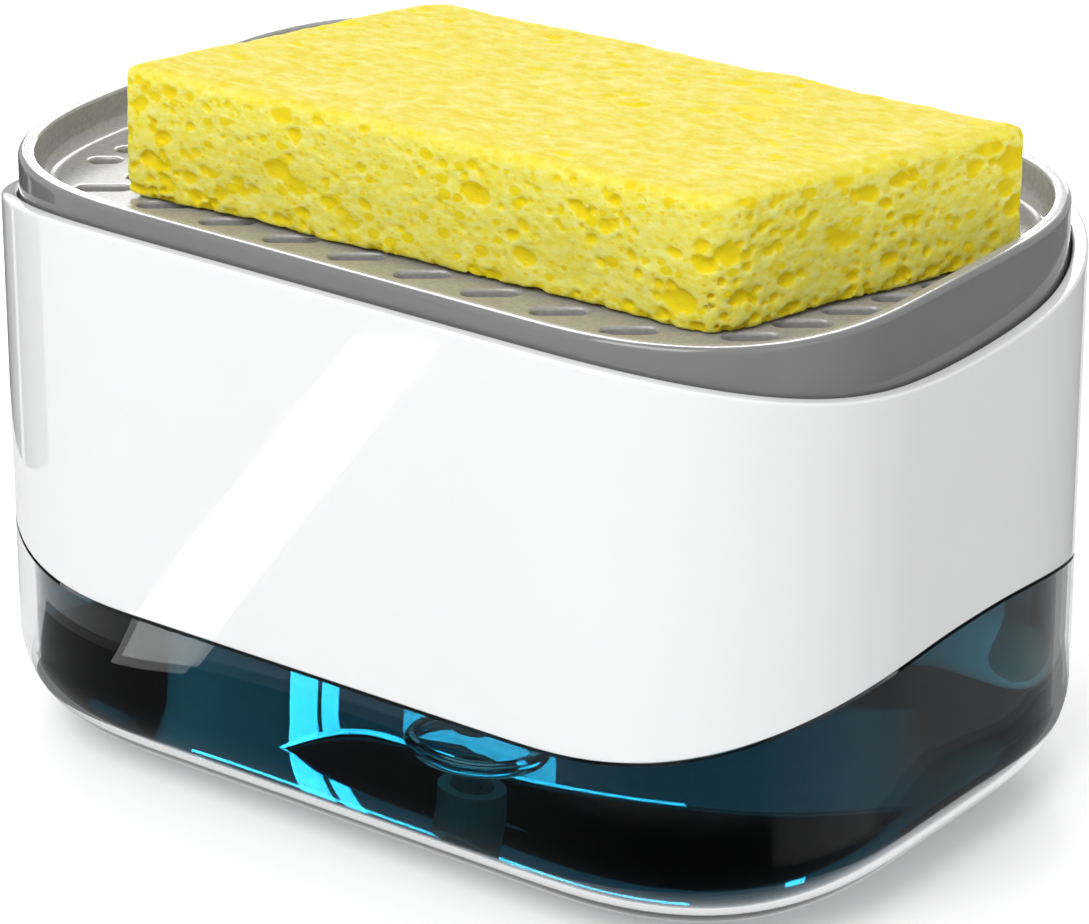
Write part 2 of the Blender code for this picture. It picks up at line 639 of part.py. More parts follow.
def make_tray(parent):
    """Tray that is pressed down: a shallow slotted dish with a deep skirt and a socket for the stem."""
    skirt_foot_z = TRAY_RIM_Z - TRAY_SKIRT_DEPTH
    tray = prism("press_tray", [body_outline(TRAY_INSET)], skirt_foot_z, TRAY_RIM_Z)
    recess = prism("tray_recess", [body_outline(RECESS_INSET)], TRAY_FLOOR_Z,
                   TRAY_RIM_Z + TRAY_FLOOR_FILLET + CUT_OVERRUN)
    round_edges(recess, TRAY_FLOOR_FILLET, TRAY_FILLET_STEPS)
    cut(tray, recess)
    cut(tray, prism("tray_underside", [body_outline(TRAY_INSET + TRAY_SKIRT_WALL)],
                    skirt_foot_z - CUT_OVERRUN, TRAY_UNDERSIDE_Z))
    boss_head = TRAY_UNDERSIDE_Z + TRAY_FLOOR / 2
    join(tray, prism("tray_boss", [circle(TRAY_BOSS_DIAMETER, ROUND_STEPS)], TRAY_BOSS_Z, boss_head))
    groove = 2 * (STEM_HOLE_RADIUS + SEAL_SECTION + CLEARANCE)
    seal_z = TRAY_BOSS_Z + SEAL_ABOVE_BOSS_END
    stem_hole = 2 * STEM_HOLE_RADIUS
    cut(tray, prism("tray_stem_hole", [circle(stem_hole, SMALL_ROUND_STEPS)], TRAY_BOSS_Z - CUT_OVERRUN,
                    TRAY_FLOOR_Z + CUT_OVERRUN))
    cut(tray, prism("tray_seal_groove", [circle(groove, SMALL_ROUND_STEPS)],
                    seal_z - SEAL_GROOVE_HEIGHT / 2, seal_z + SEAL_GROOVE_HEIGHT / 2))
    nozzle_pocket = NOZZLE_DIAMETER + 2 * CLEARANCE
    cut(tray, prism("tray_nozzle_pocket", [circle(nozzle_pocket, ROUND_STEPS)],
                    NOZZLE_SEAT_Z - CLEARANCE, TRAY_FLOOR_Z + CUT_OVERRUN))
    cut(tray, prism("tray_slots", slot_loops(), TRAY_UNDERSIDE_Z - CUT_OVERRUN, TRAY_FLOOR_Z + CUT_OVERRUN))
    return finish(tray, GREY_PLASTIC, parent)


def make_outlet(parent):
    """Button in the middle of the tray that soap wells up through, and the seal round the stem."""
    spigot = NOZZLE_SPIGOT_DIAMETER / 2
    profile = [
        (NOZZLE_DIAMETER / 2, TRAY_FLOOR_Z),
        (NOZZLE_DIAMETER / 2, NOZZLE_SEAT_Z),
        (spigot, NOZZLE_SEAT_Z),
        (spigot, NOZZLE_SEAT_Z - NOZZLE_SPIGOT_LENGTH),
        (NOZZLE_BORE / 2, NOZZLE_SEAT_Z - NOZZLE_SPIGOT_LENGTH),
        (NOZZLE_BORE / 2, TRAY_FLOOR_Z),
    ]
    finish(turned("outlet_nozzle", profile, NOZZLE_SEAT_Z, SMALL_ROUND_STEPS), PUMP_PLASTIC, parent)
    middle = STEM_HOLE_RADIUS + SEAL_SECTION / 2
    seal_z = TRAY_BOSS_Z + SEAL_ABOVE_BOSS_END
    section = []
    for step in range(BALL_RINGS):
        angle = -math.tau * step / BALL_RINGS
        section.append((middle + SEAL_SECTION / 2 * math.cos(angle), seal_z + SEAL_SECTION / 2 * math.sin(angle)))
    finish(turned("socket_seal", section, seal_z, SMALL_ROUND_STEPS), RUBBER, parent)


def make_plunger(parent):
    """Hollow stem, the piston rod with the outlet valve's chamber, and the soft piston on it."""
    stem = tube_profile(STEM_RADIUS, STEM_BORE / 2, STEM_TOP_Z, STEM_BOTTOM_Z)
    finish(turned("plunger_stem", stem, STEM_BOTTOM_Z, SMALL_ROUND_STEPS), PUMP_PLASTIC, parent)
    cup = ROD_CUP_DIAMETER / 2
    rod = ROD_DIAMETER / 2
    chamber = OUTLET_CHAMBER_DIAMETER / 2
    profile = [
        (cup, ROD_TOP_Z),
        (cup, OUTLET_SEAT_Z),
        (rod, OUTLET_SEAT_Z),
        (rod, ROD_FLANGE_TOP_Z),
        (cup, ROD_FLANGE_TOP_Z),
        (cup, ROD_BOTTOM_Z),
        (ROD_BORE / 2, ROD_BOTTOM_Z),
        (ROD_BORE / 2, OUTLET_SEAT_Z),
        (chamber, OUTLET_SEAT_Z + SEAT_DEPTH),
        (chamber, ROD_LEDGE_Z),
        (STEM_HOLE_RADIUS, ROD_LEDGE_Z),
        (STEM_HOLE_RADIUS, ROD_TOP_Z),
    ]
    finish(turned("piston_rod", profile, ROD_BOTTOM_Z, SMALL_ROUND_STEPS), PUMP_PLASTIC, parent)
    sliding = CYLINDER_BORE / 2 - CLEARANCE
    waist = sliding - PISTON_LIP
    profile = [
        (sliding, PISTON_Z + PISTON_HEIGHT),
        (sliding, PISTON_Z + PISTON_HEIGHT - PISTON_LIP),
        (waist, PISTON_Z + PISTON_HEIGHT / 2),
        (sliding, PISTON_Z + PISTON_LIP),
        (sliding, PISTON_Z),
        (rod + CLEARANCE, PISTON_Z),
        (rod + CLEARANCE, PISTON_Z + PISTON_HEIGHT),
    ]
    finish(turned("piston", profile, PISTON_Z, SMALL_ROUND_STEPS), SILICONE, parent)


def make_spring(parent):
    """Steel helix between the retainer and the rod's flange."""
    radius = (SPRING_DIAMETER - SPRING_WIRE) / 2
    rise = SPRING_LENGTH - SPRING_WIRE
    count = round(SPRING_TURNS * SPRING_STEPS)
    curve = bpy.data.curves.new("return_spring", "CURVE")
    curve.dimensions = "3D"
    curve.bevel_depth = SPRING_WIRE / 2
    curve.bevel_resolution = 2
    curve.use_fill_caps = True
    spline = curve.splines.new("POLY")
    spline.points.add(count)
    for step, point in enumerate(spline.points):
        angle = math.tau * step / SPRING_STEPS
        height = SPRING_WIRE / 2 + rise * step / count
        point.co = (radius * math.cos(angle), radius * math.sin(angle), height, 1)
    wire = bpy.data.objects.new("return_spring_wire", curve)
    wire.location.z = SPRING_BOTTOM_Z
    PARTS.objects.link(wire)
    spring = as_mesh(wire, "return_spring")
    shade(spring.data)
    return finish(spring, STEEL, parent)


def make_ball(name, height, material, parent):
    mesh = bpy.data.meshes.new(name)
    work = bmesh.new()
    bmesh.ops.create_uvsphere(work, u_segments=BALL_SEGMENTS, v_segments=BALL_RINGS, radius=BALL_RADIUS)
    work.to_mesh(mesh)
    work.free()
    shade(mesh)
    ball = bpy.data.objects.new(name, mesh)
    PARTS.objects.link(ball)
    ball.location.z = height
    bpy.context.view_layer.update()
    return finish(ball, material, parent)


def rounded_corners(corners, radii, steps):
    """Round each corner of a convex outline that runs anticlockwise by its own radius."""
    outline = []
    for index, (corner, radius) in enumerate(zip(corners, radii)):
        before = (corners[index - 1] - corner).normalized()
        after = (corners[(index + 1) % len(corners)] - corner).normalized()
        half = before.angle(after) / 2
        middle = corner + (before + after).normalized() * (radius / math.sin(half))
        start = corner + before * (radius / math.tan(half)) - middle
        sweep = math.pi - 2 * half
        for step in range(steps + 1):
            turn = Matrix.Rotation(sweep * step / steps, 2)
            point = middle + turn @ start
            outline.append((point.x, point.y))
    return outline


def make_sponge(parent):
    """Cellulose sponge that lies loose in the tray."""
    along = Vector((SPONGE_LENGTH * math.cos(SPONGE_TURN), SPONGE_LENGTH * math.sin(SPONGE_TURN)))
    back = Vector((SPONGE_LEAN, SPONGE_WIDTH))
    first = Vector((SPONGE_FROM_MIDDLE_X, SPONGE_FROM_MIDDLE_Y)) - (along + back) / 2
    corners = [first, first + along, first + along + back, first + back]
    bottom = TRAY_FLOOR_Z + CLEARANCE
    radii = [SPONGE_SHARP_RADIUS, SPONGE_BLUNT_RADIUS] * 2
    outline = rounded_corners(corners, radii, CORNER_STEPS)
    sponge = prism("sponge", [outline], bottom, bottom + SPONGE_HEIGHT)
    round_edges(sponge, SPONGE_EDGE_RADIUS, TRAY_FILLET_STEPS)
    shade(sponge.data)
    return finish(sponge, CELLULOSE, parent)


def main():
    housing = group("housing_lift", NECK_TOP_Z)
    press = group("press_slide", TRAY_BOSS_Z, housing)
    loose = group("sponge_lift", TRAY_FLOOR_Z, press)
    make_reservoir()
    make_feet()
    make_sleeve(housing)
    make_deck(housing)
    make_gaskets(housing)
    make_cylinder(housing)
    make_lock_ring(housing)
    make_stem_guide(housing)
    make_retainer(housing)
    make_dip_tube(housing)
    make_ball("inlet_ball", INLET_BALL_Z, GLASS_BALL, housing)
    make_tray(press)
    make_outlet(press)
    make_plunger(press)
    make_spring(housing)
    make_ball("outlet_ball", OUTLET_BALL_Z, GLASS_BALL, press)
    make_sponge(loose)


main()
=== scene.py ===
"""Looks of the dish soap dispenser: finer shells, soap, spring and sponge, materials, lights and camera."""
import math

import bmesh
import bpy
import numpy as np
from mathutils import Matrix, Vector


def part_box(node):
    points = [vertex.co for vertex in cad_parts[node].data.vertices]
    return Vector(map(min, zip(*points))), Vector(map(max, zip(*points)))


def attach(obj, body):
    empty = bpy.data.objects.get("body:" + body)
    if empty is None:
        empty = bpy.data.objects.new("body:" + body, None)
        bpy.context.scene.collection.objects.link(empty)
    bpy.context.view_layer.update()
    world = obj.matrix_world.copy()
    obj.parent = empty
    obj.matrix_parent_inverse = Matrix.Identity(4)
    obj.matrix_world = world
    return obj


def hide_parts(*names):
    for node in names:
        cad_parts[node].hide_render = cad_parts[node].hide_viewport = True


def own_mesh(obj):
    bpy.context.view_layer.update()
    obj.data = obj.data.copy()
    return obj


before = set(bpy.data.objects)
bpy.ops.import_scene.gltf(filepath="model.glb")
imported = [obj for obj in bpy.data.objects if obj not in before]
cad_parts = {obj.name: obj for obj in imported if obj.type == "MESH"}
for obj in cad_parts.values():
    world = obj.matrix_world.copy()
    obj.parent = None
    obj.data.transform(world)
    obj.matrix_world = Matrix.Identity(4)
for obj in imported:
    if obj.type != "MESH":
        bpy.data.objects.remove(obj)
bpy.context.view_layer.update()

# Camera, from the level curves of the photograph
VIEW_AZIMUTH = math.radians(36.62)
VIEW_ELEVATION = math.radians(23.18)
VIEW_DISTANCE = 0.6826
VIEW_TARGET = Vector((0.0006, 0.0005, 0.0405))
VIEW_LENS = 165.34
SENSOR_WIDTH = 36.0

# Body's plan outline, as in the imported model
BODY_LENGTH = 0.140
BODY_WIDTH = 0.0975
CORNER_REACH = 0.0385
CORNER_POWER = 2.5
CORNER_STEPS = 26
SIDE_STEPS = 8

# Walls
BASE_FILLET = 0.0136
INNER_FILLET = 0.0092
FILLET_STEPS = 14
RESERVOIR_WALL = 0.0024
RESERVOIR_FLOOR = 0.0026
SLEEVE_WALL = 0.0021
SLEEVE_LAP_WALL = 0.0010
NECK_INSET = 0.0013
DECK_BOSS_HEIGHT = 0.006
TRAY_INSET = 0.00245
TRAY_SKIRT_WALL = 0.0018
TRAY_SKIRT_DEPTH = 0.014
TRAY_RIM_WIDTH = 0.0023
TRAY_DEPTH = 0.0055
TRAY_FLOOR_FILLET = 0.0025
TRAY_FLOOR = 0.0022

# Ring on the reservoir's floor
SUMP_DIAMETER = 0.020
SUMP_WALL = 0.0016
SUMP_HEIGHT = 0.0012
SUMP_ROUND = 0.0004

# Rounded edges, and how far the loops that keep their shading even lie beside them
EDGE_ROUND = 0.0004
EDGE_STEPS = 4
SLEEVE_LOWER_ROUND = 0.00025
SLEEVE_LOWER_STEPS = 3
SEAM_BEVEL = 0.0002
TRAY_RIM_ROUND = 0.0009
TRAY_RIM_STEPS = 8
TRAY_RIM_INNER_ROUND = 0.0006
TRAY_RIM_INNER_STEPS = 6
EDGE_LOOP = 0.0003
SHARP_ANGLE = math.radians(30)

# Waves of the sleeve's edges
SLEEVE_EDGE_RISE = 0.0097
SLEEVE_EDGE_POWER = 2.4
SLEEVE_RIM_DIP = 0.0077
SLEEVE_RIM_POWER = 2

# Gaps
CLEARANCE = 0.0003
SEAM = 0.00012
SOAP_GAP = 0.00008

# Surface of the soap, and the inset of the outline whose bearings the round loops take
SOAP_TOP_Z = 0.041
BEARING_INSET = 0.010


def outline(inset):
    """Plan outline moved in by an even inset, anticlockwise, with points along the straight sides too."""
    sx, sy = BODY_LENGTH / 2 - CORNER_REACH, BODY_WIDTH / 2 - CORNER_REACH
    angle = np.linspace(0, math.pi / 2, CORNER_STEPS + 1)
    c, s = np.clip(np.cos(angle), 0, 1), np.sin(angle)
    edge = np.stack([c ** (2 / CORNER_POWER), s ** (2 / CORNER_POWER)], 1) * CORNER_REACH
    out = np.stack([c ** (2 - 2 / CORNER_POWER), s ** (2 - 2 / CORNER_POWER)], 1)
    out /= np.linalg.norm(out, axis=1)[:, None]
    corner = edge - out * inset + (sx, sy)
    loop = []
    for signs in ((1, 1), (-1, 1), (-1, -1), (1, -1)):
        quarter = corner if signs[0] == signs[1] else corner[::-1]
        quarter = quarter * signs
        if loop:
            gap = np.linspace(loop[-1], quarter[0], SIDE_STEPS + 1)[1:-1]
            loop.extend(gap)
        loop.extend(quarter)
    loop.extend(np.linspace(loop[-1], loop[0], SIDE_STEPS + 1)[1:-1])
    return np.array(loop)


def wave(y, edge, change, power):
    """Height of an edge: as given along the long sides, and changed at the middle of the short ones."""
    share = np.clip(np.abs(y) / (BODY_WIDTH / 2), 0, 1)
    return edge + change * (1 - share ** power)


def new_object(name, verts, faces):
    """A smooth object with sharp edges where its faces meet at more than an angle."""
    mesh = bpy.data.meshes.new(name)
    mesh.from_pydata([tuple(map(float, v)) for v in verts], [], [tuple(map(int, f)) for f in faces])
    mesh.validate()
    work = bmesh.new()
    work.from_mesh(mesh)
    bmesh.ops.remove_doubles(work, verts=work.verts, dist=1e-7)
    bmesh.ops.recalc_face_normals(work, faces=work.faces)
    work.to_mesh(mesh)
    work.free()
    mesh.shade_smooth()
    mesh.set_sharp_from_angle(angle=SHARP_ANGLE)
    thing = bpy.data.objects.new(name, mesh)
    bpy.context.scene.collection.objects.link(thing)
    return thing


def loft(name, loops, closed, cap_first=False, cap_last=False):
    """Skin over loops of equal count. Closed joins the last to the first. A cap is a fan to its middle."""
    count = len(loops[0])
    verts = np.concatenate(loops)
    faces = []
    pairs = [(i, i + 1) for i in range(len(loops) - 1)]
    if closed:
        pairs.append((len(loops) - 1, 0))
    for a, b in pairs:
        for i in range(count):
            j = (i + 1) % count
            faces.append((a * count + i, a * count + j, b * count + j, b * count + i))
    extra = []
    for cap, index in ((cap_first, 0), (cap_last, len(loops) - 1)):
        if cap:
            middle = len(verts) + len(extra)
            extra.append(loops[index].mean(0))
            for i in range(count):
                faces.append((index * count + i, index * count + (i + 1) % count, middle))
    if extra:
        verts = np.concatenate([verts, np.array(extra)])
    return new_object(name, verts, faces)


def level(inset, z):
    """A loop of the outline at an inset and a height, which may vary along it."""
    flat = outline(inset)
    return np.column_stack([flat, np.broadcast_to(z, len(flat))])


def arc(inset, z, radius, start, end, steps):
    """Loops round an edge whose arc has its middle at an inset and height. 0 degrees face out, 90 up."""
    loops = []
    for step in range(steps + 1):
        a = math.radians(start + (end - start) * step / steps)
        loops.append(level(inset - radius * math.cos(a), z + radius * math.sin(a)))
    return loops


def circle_loop(radius, z):
    """A round loop whose points lie at the bearings of the outline's points."""
    flat = outline(BEARING_INSET)
    bearing = np.arctan2(flat[:, 1], flat[:, 0])
    return np.column_stack([radius * np.cos(bearing), radius * np.sin(bearing), np.full(len(flat), z)])


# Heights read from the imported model
RESERVOIR_LOW, RESERVOIR_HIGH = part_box("reservoir")
SLEEVE_LOW, SLEEVE_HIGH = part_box("sleeve")
SPONGE_LOW, SPONGE_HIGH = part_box("sponge")
DECK_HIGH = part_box("pump_deck")[1]
TRAY_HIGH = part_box("press_tray")[1]
BASE_Z = RESERVOIR_LOW.z
FLOOR_Z = BASE_Z + RESERVOIR_FLOOR
NECK_TOP_Z = RESERVOIR_HIGH.z
SLEEVE_EDGE_Z = SLEEVE_LOW.z
SLEEVE_RIM_Z = SLEEVE_HIGH.z
SHOULDER_Z = DECK_HIGH.z - DECK_BOSS_HEIGHT + CLEARANCE
TRAY_RIM_Z = TRAY_HIGH.z
TRAY_FLOOR_Z = TRAY_RIM_Z - TRAY_DEPTH
TRAY_UNDERSIDE_Z = TRAY_FLOOR_Z - TRAY_FLOOR
TRAY_SKIRT_Z = TRAY_RIM_Z - TRAY_SKIRT_DEPTH


def make_sleeve():
    """Sleeve with two wavy edges. Below its shoulder a thinner wall laps over the reservoir's neck."""
    y = outline(0)[:, 1]
    low = wave(y, SLEEVE_EDGE_Z, SLEEVE_EDGE_RISE, SLEEVE_EDGE_POWER)
    high = wave(y, SLEEVE_RIM_Z, -SLEEVE_RIM_DIP, SLEEVE_RIM_POWER)
    r, q, s = EDGE_ROUND, SLEEVE_LOWER_ROUND, EDGE_LOOP
    loops = [level(0, high - r - 2 * s), level(0, high - r - s)]
    loops += arc(r, high - r, r, 0, 90, EDGE_STEPS)
    loops += [level(SLEEVE_WALL / 2, high)]
    loops += arc(SLEEVE_WALL - r, high - r, -r, -90, 0, EDGE_STEPS)
    loops += [level(SLEEVE_WALL, high - r - s), level(SLEEVE_WALL, SHOULDER_Z + s)]
    loops += [level(SLEEVE_WALL, SHOULDER_Z), level(SLEEVE_LAP_WALL, SHOULDER_Z)]
    loops += [level(SLEEVE_LAP_WALL, SHOULDER_Z - s), level(SLEEVE_LAP_WALL, low + q)]
    loops += [level(SLEEVE_LAP_WALL - q, low), level(q, low)]
    loops += arc(q, low + q, q, -90, 0, SLEEVE_LOWER_STEPS)[1:]
    loops += [level(0, low + q + s), level(0, low + q + 2 * s)]
    return loft("sleeve_shell", loops, True)


def sump_loops():
    """Loops over the low ring on the reservoir's floor, from its outside to its inside."""
    e = SUMP_ROUND
    top = FLOOR_Z + SUMP_HEIGHT
    outer = SUMP_DIAMETER / 2
    inner = outer - SUMP_WALL
    profile = ((outer + 2 * e, FLOOR_Z), (outer + e / 2, FLOOR_Z + e / 3), (outer, FLOOR_Z + e),
               (outer, top - e), (outer - e / 2, top - e / 3), (outer - e, top),
               (inner + e, top), (inner + e / 2, top - e / 3), (inner, top - e),
               (inner, FLOOR_Z + e), (inner - e / 2, FLOOR_Z + e / 3), (inner - e, FLOOR_Z))
    return [circle_loop(radius, z) for radius, z in profile]


def make_reservoir():
    """Reservoir with a neck inside the sleeve's lap, from its base's outside to the ring on its floor."""
    y = outline(0)[:, 1]
    top = wave(y, SLEEVE_EDGE_Z - SEAM, SLEEVE_EDGE_RISE, SLEEVE_EDGE_POWER)
    outer, inner, s = BASE_FILLET, INNER_FILLET, EDGE_LOOP
    loops = arc(outer, BASE_Z + outer, outer, -90, 0, FILLET_STEPS)
    loops += [level(0, BASE_Z + outer + s), level(0, top - 3 * s), level(0, top - s)]
    loops += [level(SEAM_BEVEL, top), level(NECK_INSET, top), level(NECK_INSET, top + s)]
    loops += [level(NECK_INSET, NECK_TOP_Z), level(RESERVOIR_WALL, NECK_TOP_Z)]
    loops += [level(RESERVOIR_WALL, FLOOR_Z + inner + s)]
    loops += arc(RESERVOIR_WALL + inner, FLOOR_Z + inner, inner, 0, -90, FILLET_STEPS)
    loops += [level(RESERVOIR_WALL + inner + s, FLOOR_Z)]
    loops += sump_loops()
    return loft("reservoir_shell", loops, False, cap_first=True, cap_last=True)


def make_soap():
    """Soap up to a flat surface, a small gap off the reservoir's wall and floor."""
    s = EDGE_LOOP
    inner = INNER_FILLET - SOAP_GAP
    bottom = FLOOR_Z + SOAP_GAP
    wall = RESERVOIR_WALL + SOAP_GAP
    loops = arc(RESERVOIR_WALL + INNER_FILLET, bottom + inner, inner, -90, 0, FILLET_STEPS)
    loops += [level(wall, bottom + inner + s), level(wall, SOAP_TOP_Z - 2 * s), level(wall, SOAP_TOP_Z)]
    loops += [level(wall + s, SOAP_TOP_Z)]
    return loft("soap", loops, False, cap_first=True, cap_last=True)


# Slots in the tray's floor
SLOT_LENGTH = 0.0073
SLOT_WIDTH = 0.0024
SHORT_SLOT_LENGTH = 0.0042
SLOT_ANGLE = math.radians(37)
SLOT_PITCH = 0.0109
SLOT_ROW_PITCH = 0.00745
SLOT_ROW_LEAN = 0.0026
SLOT_SHIFT = 0.0031
SLOT_MARGIN = 0.0042
SLOT_END_STEPS = 8
SLOT_BEVEL = 0.0005

# Tray's outlet and the boss under it, which takes the stem
OUTLET_HOLE_DIAMETER = 0.0126
TRAY_BOSS_DIAMETER = 0.016
TRAY_BOSS_BORE = 0.0096
TRAY_BOSS_LENGTH = 0.005
TRAY_BOSS_Z = TRAY_UNDERSIDE_Z - TRAY_BOSS_LENGTH
BOSS_RECESS_DIAMETER = 0.0132
BOSS_RECESS_RISE = 0.0009
BOSS_OVERLAP = 0.0002
PLATE_OVERLAP = 0.0004
ROUND_STEPS = 48


def inside_recess(x, y, margin):
    """Whether a point lies inside the flat part of the tray's floor, moved in by a margin."""
    inset = TRAY_INSET + TRAY_RIM_WIDTH + TRAY_FLOOR_FILLET + margin
    reach = CORNER_REACH - inset
    bx = max(abs(x) - (BODY_LENGTH / 2 - CORNER_REACH), 0) / reach
    by = max(abs(y) - (BODY_WIDTH / 2 - CORNER_REACH), 0) / reach
    return bx ** CORNER_POWER + by ** CORNER_POWER < 1


def slot_places():
    """Middle and length of each slot."""
    rows = int(BODY_WIDTH / 2 / SLOT_ROW_PITCH)
    columns = int(BODY_LENGTH / 2 / SLOT_PITCH) + 1
    outlet = (TRAY_BOSS_DIAMETER + SLOT_LENGTH) / 2 + CLEARANCE
    places = []
    for row in range(-rows, rows + 1):
        for column in range(-columns, columns + 1):
            x = SLOT_SHIFT + SLOT_ROW_LEAN * row + SLOT_PITCH * column
            y = SLOT_ROW_PITCH * row
            if math.hypot(x, y) < outlet:
                continue
            if inside_recess(x, y, SLOT_MARGIN):
                places.append((x, y, SLOT_LENGTH))
                continue
            step = (SLOT_LENGTH - SHORT_SLOT_LENGTH) / 2 * math.copysign(1, -x)
            x += step * math.cos(SLOT_ANGLE)
            y += step * math.sin(SLOT_ANGLE)
            if inside_recess(x, y, SLOT_MARGIN - SLOT_LENGTH / 2 + SHORT_SLOT_LENGTH / 2):
                places.append((x, y, SHORT_SLOT_LENGTH))
    return places


def slot_loop(x, y, length):
    """Outline of a slot with round ends."""
    radius = SLOT_WIDTH / 2
    run = length / 2 - radius
    loop = []
    for side in (1, -1):
        for step in range(SLOT_END_STEPS + 1):
            a = math.pi * (step / SLOT_END_STEPS - 0.5)
            along = side * (run + radius * math.cos(a))
            across = side * radius * math.sin(a)
            loop.append((x + along * math.cos(SLOT_ANGLE) - across * math.sin(SLOT_ANGLE),
                         y + along * math.sin(SLOT_ANGLE) + across * math.cos(SLOT_ANGLE)))
    return loop


def circle(radius):
    """Points of a round hole or wall."""
    bearings = np.linspace(0, math.tau, ROUND_STEPS, endpoint=False)
    return [(radius * math.cos(a), radius * math.sin(a)) for a in bearings]


def flat_plate(name, loops, z_low, z_high, bevel):
    """A plate with holes and rounded edges, from a filled curve."""
    curve = bpy.data.curves.new(name, "CURVE")
    curve.dimensions = "2D"
    curve.fill_mode = "BOTH"
    curve.extrude = (z_high - z_low) / 2 - bevel
    curve.bevel_depth = bevel
    curve.bevel_resolution = 2
    curve.offset = -bevel
    for loop in loops:
        spline = curve.splines.new("POLY")
        spline.points.add(len(loop) - 1)
        for point, place in zip(spline.points, loop):
            point.co = (place[0], place[1], 0, 1)
        spline.use_cyclic_u = True
    flat = bpy.data.objects.new(name + "_curve", curve)
    flat.location.z = (z_low + z_high) / 2
    bpy.context.scene.collection.objects.link(flat)
    bpy.context.view_layer.update()
    mesh = bpy.data.meshes.new_from_object(flat.evaluated_get(bpy.context.evaluated_depsgraph_get()))
    mesh.transform(flat.matrix_world)
    bpy.data.objects.remove(flat, do_unlink=True)
    return mesh


def add_boss(work):
    """Hollow boss under the tray's floor, a little way into it, as a closed ring."""
    outer, bore, recess = TRAY_BOSS_DIAMETER / 2, TRAY_BOSS_BORE / 2, BOSS_RECESS_DIAMETER / 2
    foot = TRAY_UNDERSIDE_Z + BOSS_OVERLAP
    top = TRAY_UNDERSIDE_Z + BOSS_RECESS_RISE
    profile = ((outer, foot), (outer, TRAY_BOSS_Z), (bore, TRAY_BOSS_Z),
               (bore, top), (recess, top), (recess, foot))
    rings = [[work.verts.new((x, y, z)) for x, y in circle(radius)] for radius, z in profile]
    for index, first in enumerate(rings):
        second = rings[(index + 1) % len(rings)]
        for i in range(ROUND_STEPS):
            j = (i + 1) % ROUND_STEPS
            work.faces.new((first[i], first[j], second[j], second[i]))


def make_tray():
    """Tray with a skirt, a rounded rim and a slotted floor. dish_share is 1 inside it and on its rim, where
    the material paints light as a lighter grey.
    """
    outer, inner, f, s = TRAY_RIM_ROUND, TRAY_RIM_INNER_ROUND, TRAY_FLOOR_FILLET, EDGE_LOOP
    skirt_in = TRAY_INSET + TRAY_SKIRT_WALL
    wall_in = TRAY_INSET + TRAY_RIM_WIDTH
    loops = [level(skirt_in, TRAY_UNDERSIDE_Z), level(skirt_in, TRAY_SKIRT_Z + s)]
    loops += [level(skirt_in, TRAY_SKIRT_Z), level(TRAY_INSET, TRAY_SKIRT_Z)]
    loops += [level(TRAY_INSET, TRAY_SKIRT_Z + s), level(TRAY_INSET, TRAY_RIM_Z - outer - s)]
    loops += arc(TRAY_INSET + outer, TRAY_RIM_Z - outer, outer, 0, 90, TRAY_RIM_STEPS)
    loops += [level((TRAY_INSET + outer + wall_in - inner) / 2, TRAY_RIM_Z)]
    loops += arc(wall_in - inner, TRAY_RIM_Z - inner, -inner, -90, 0, TRAY_RIM_INNER_STEPS)
    loops += [level(wall_in, TRAY_FLOOR_Z + f + s)]
    loops += arc(wall_in + f, TRAY_FLOOR_Z + f, f, 0, -90, TRAY_RIM_STEPS)
    ring = loft("tray_shell", loops, True)
    # The floor is a plate whose edge lies under the fillet
    holes = [slot_loop(*place) for place in slot_places()]
    edges = [outline(skirt_in - PLATE_OVERLAP).tolist(), *holes, circle(OUTLET_HOLE_DIAMETER / 2)]
    plate = flat_plate("tray_plate", edges, TRAY_UNDERSIDE_Z, TRAY_FLOOR_Z, SLOT_BEVEL)
    work = bmesh.new()
    work.from_mesh(ring.data)
    work.from_mesh(plate)
    add_boss(work)
    work.to_mesh(ring.data)
    work.free()
    ring.data.shade_smooth()
    ring.data.set_sharp_from_angle(angle=SHARP_ANGLE)
    # dish_share marks where the painted light goes: the lighter grey of the dish and the rim
    layer = ring.data.attributes.new("dish_share", "FLOAT", "POINT")
    rim_margin = -TRAY_RIM_WIDTH - TRAY_FLOOR_FILLET + TRAY_RIM_ROUND / 2
    for vertex, value in zip(ring.data.vertices, layer.data):
        x, y, z = vertex.co
        inside = z > TRAY_UNDERSIDE_Z - CLEARANCE and inside_recess(x, y, rim_margin)
        value.value = 1.0 if inside else 0.0
    return ring


# Return spring
SPRING_WIRE = 0.0012
SPRING_TURNS = 4.5
SPRING_STEPS = 108
SPRING_SIDES = 10


def make_spring():
    """Return spring of round wire."""
    low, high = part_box("return_spring")
    wire = SPRING_WIRE / 2
    radius = (high.x - low.x) / 2 - wire
    rise = high.z - low.z - SPRING_WIRE
    verts = []
    for step in range(SPRING_STEPS + 1):
        share = step / SPRING_STEPS
        turn = math.tau * SPRING_TURNS * share
        for a in np.linspace(0, math.tau, SPRING_SIDES, endpoint=False):
            reach = radius + wire * math.cos(a)
            z = low.z + wire + rise * share + wire * math.sin(a)
            verts.append((reach * math.cos(turn), reach * math.sin(turn), z))
    faces = [tuple(reversed(range(SPRING_SIDES))), tuple(range(SPRING_STEPS * SPRING_SIDES, len(verts)))]
    for step in range(SPRING_STEPS):
        for i in range(SPRING_SIDES):
            j = (i + 1) % SPRING_SIDES
            a, b = step * SPRING_SIDES, (step + 1) * SPRING_SIDES
            faces.append((a + i, a + j, b + j, b + i))
    return new_object("spring_wire", verts, faces)


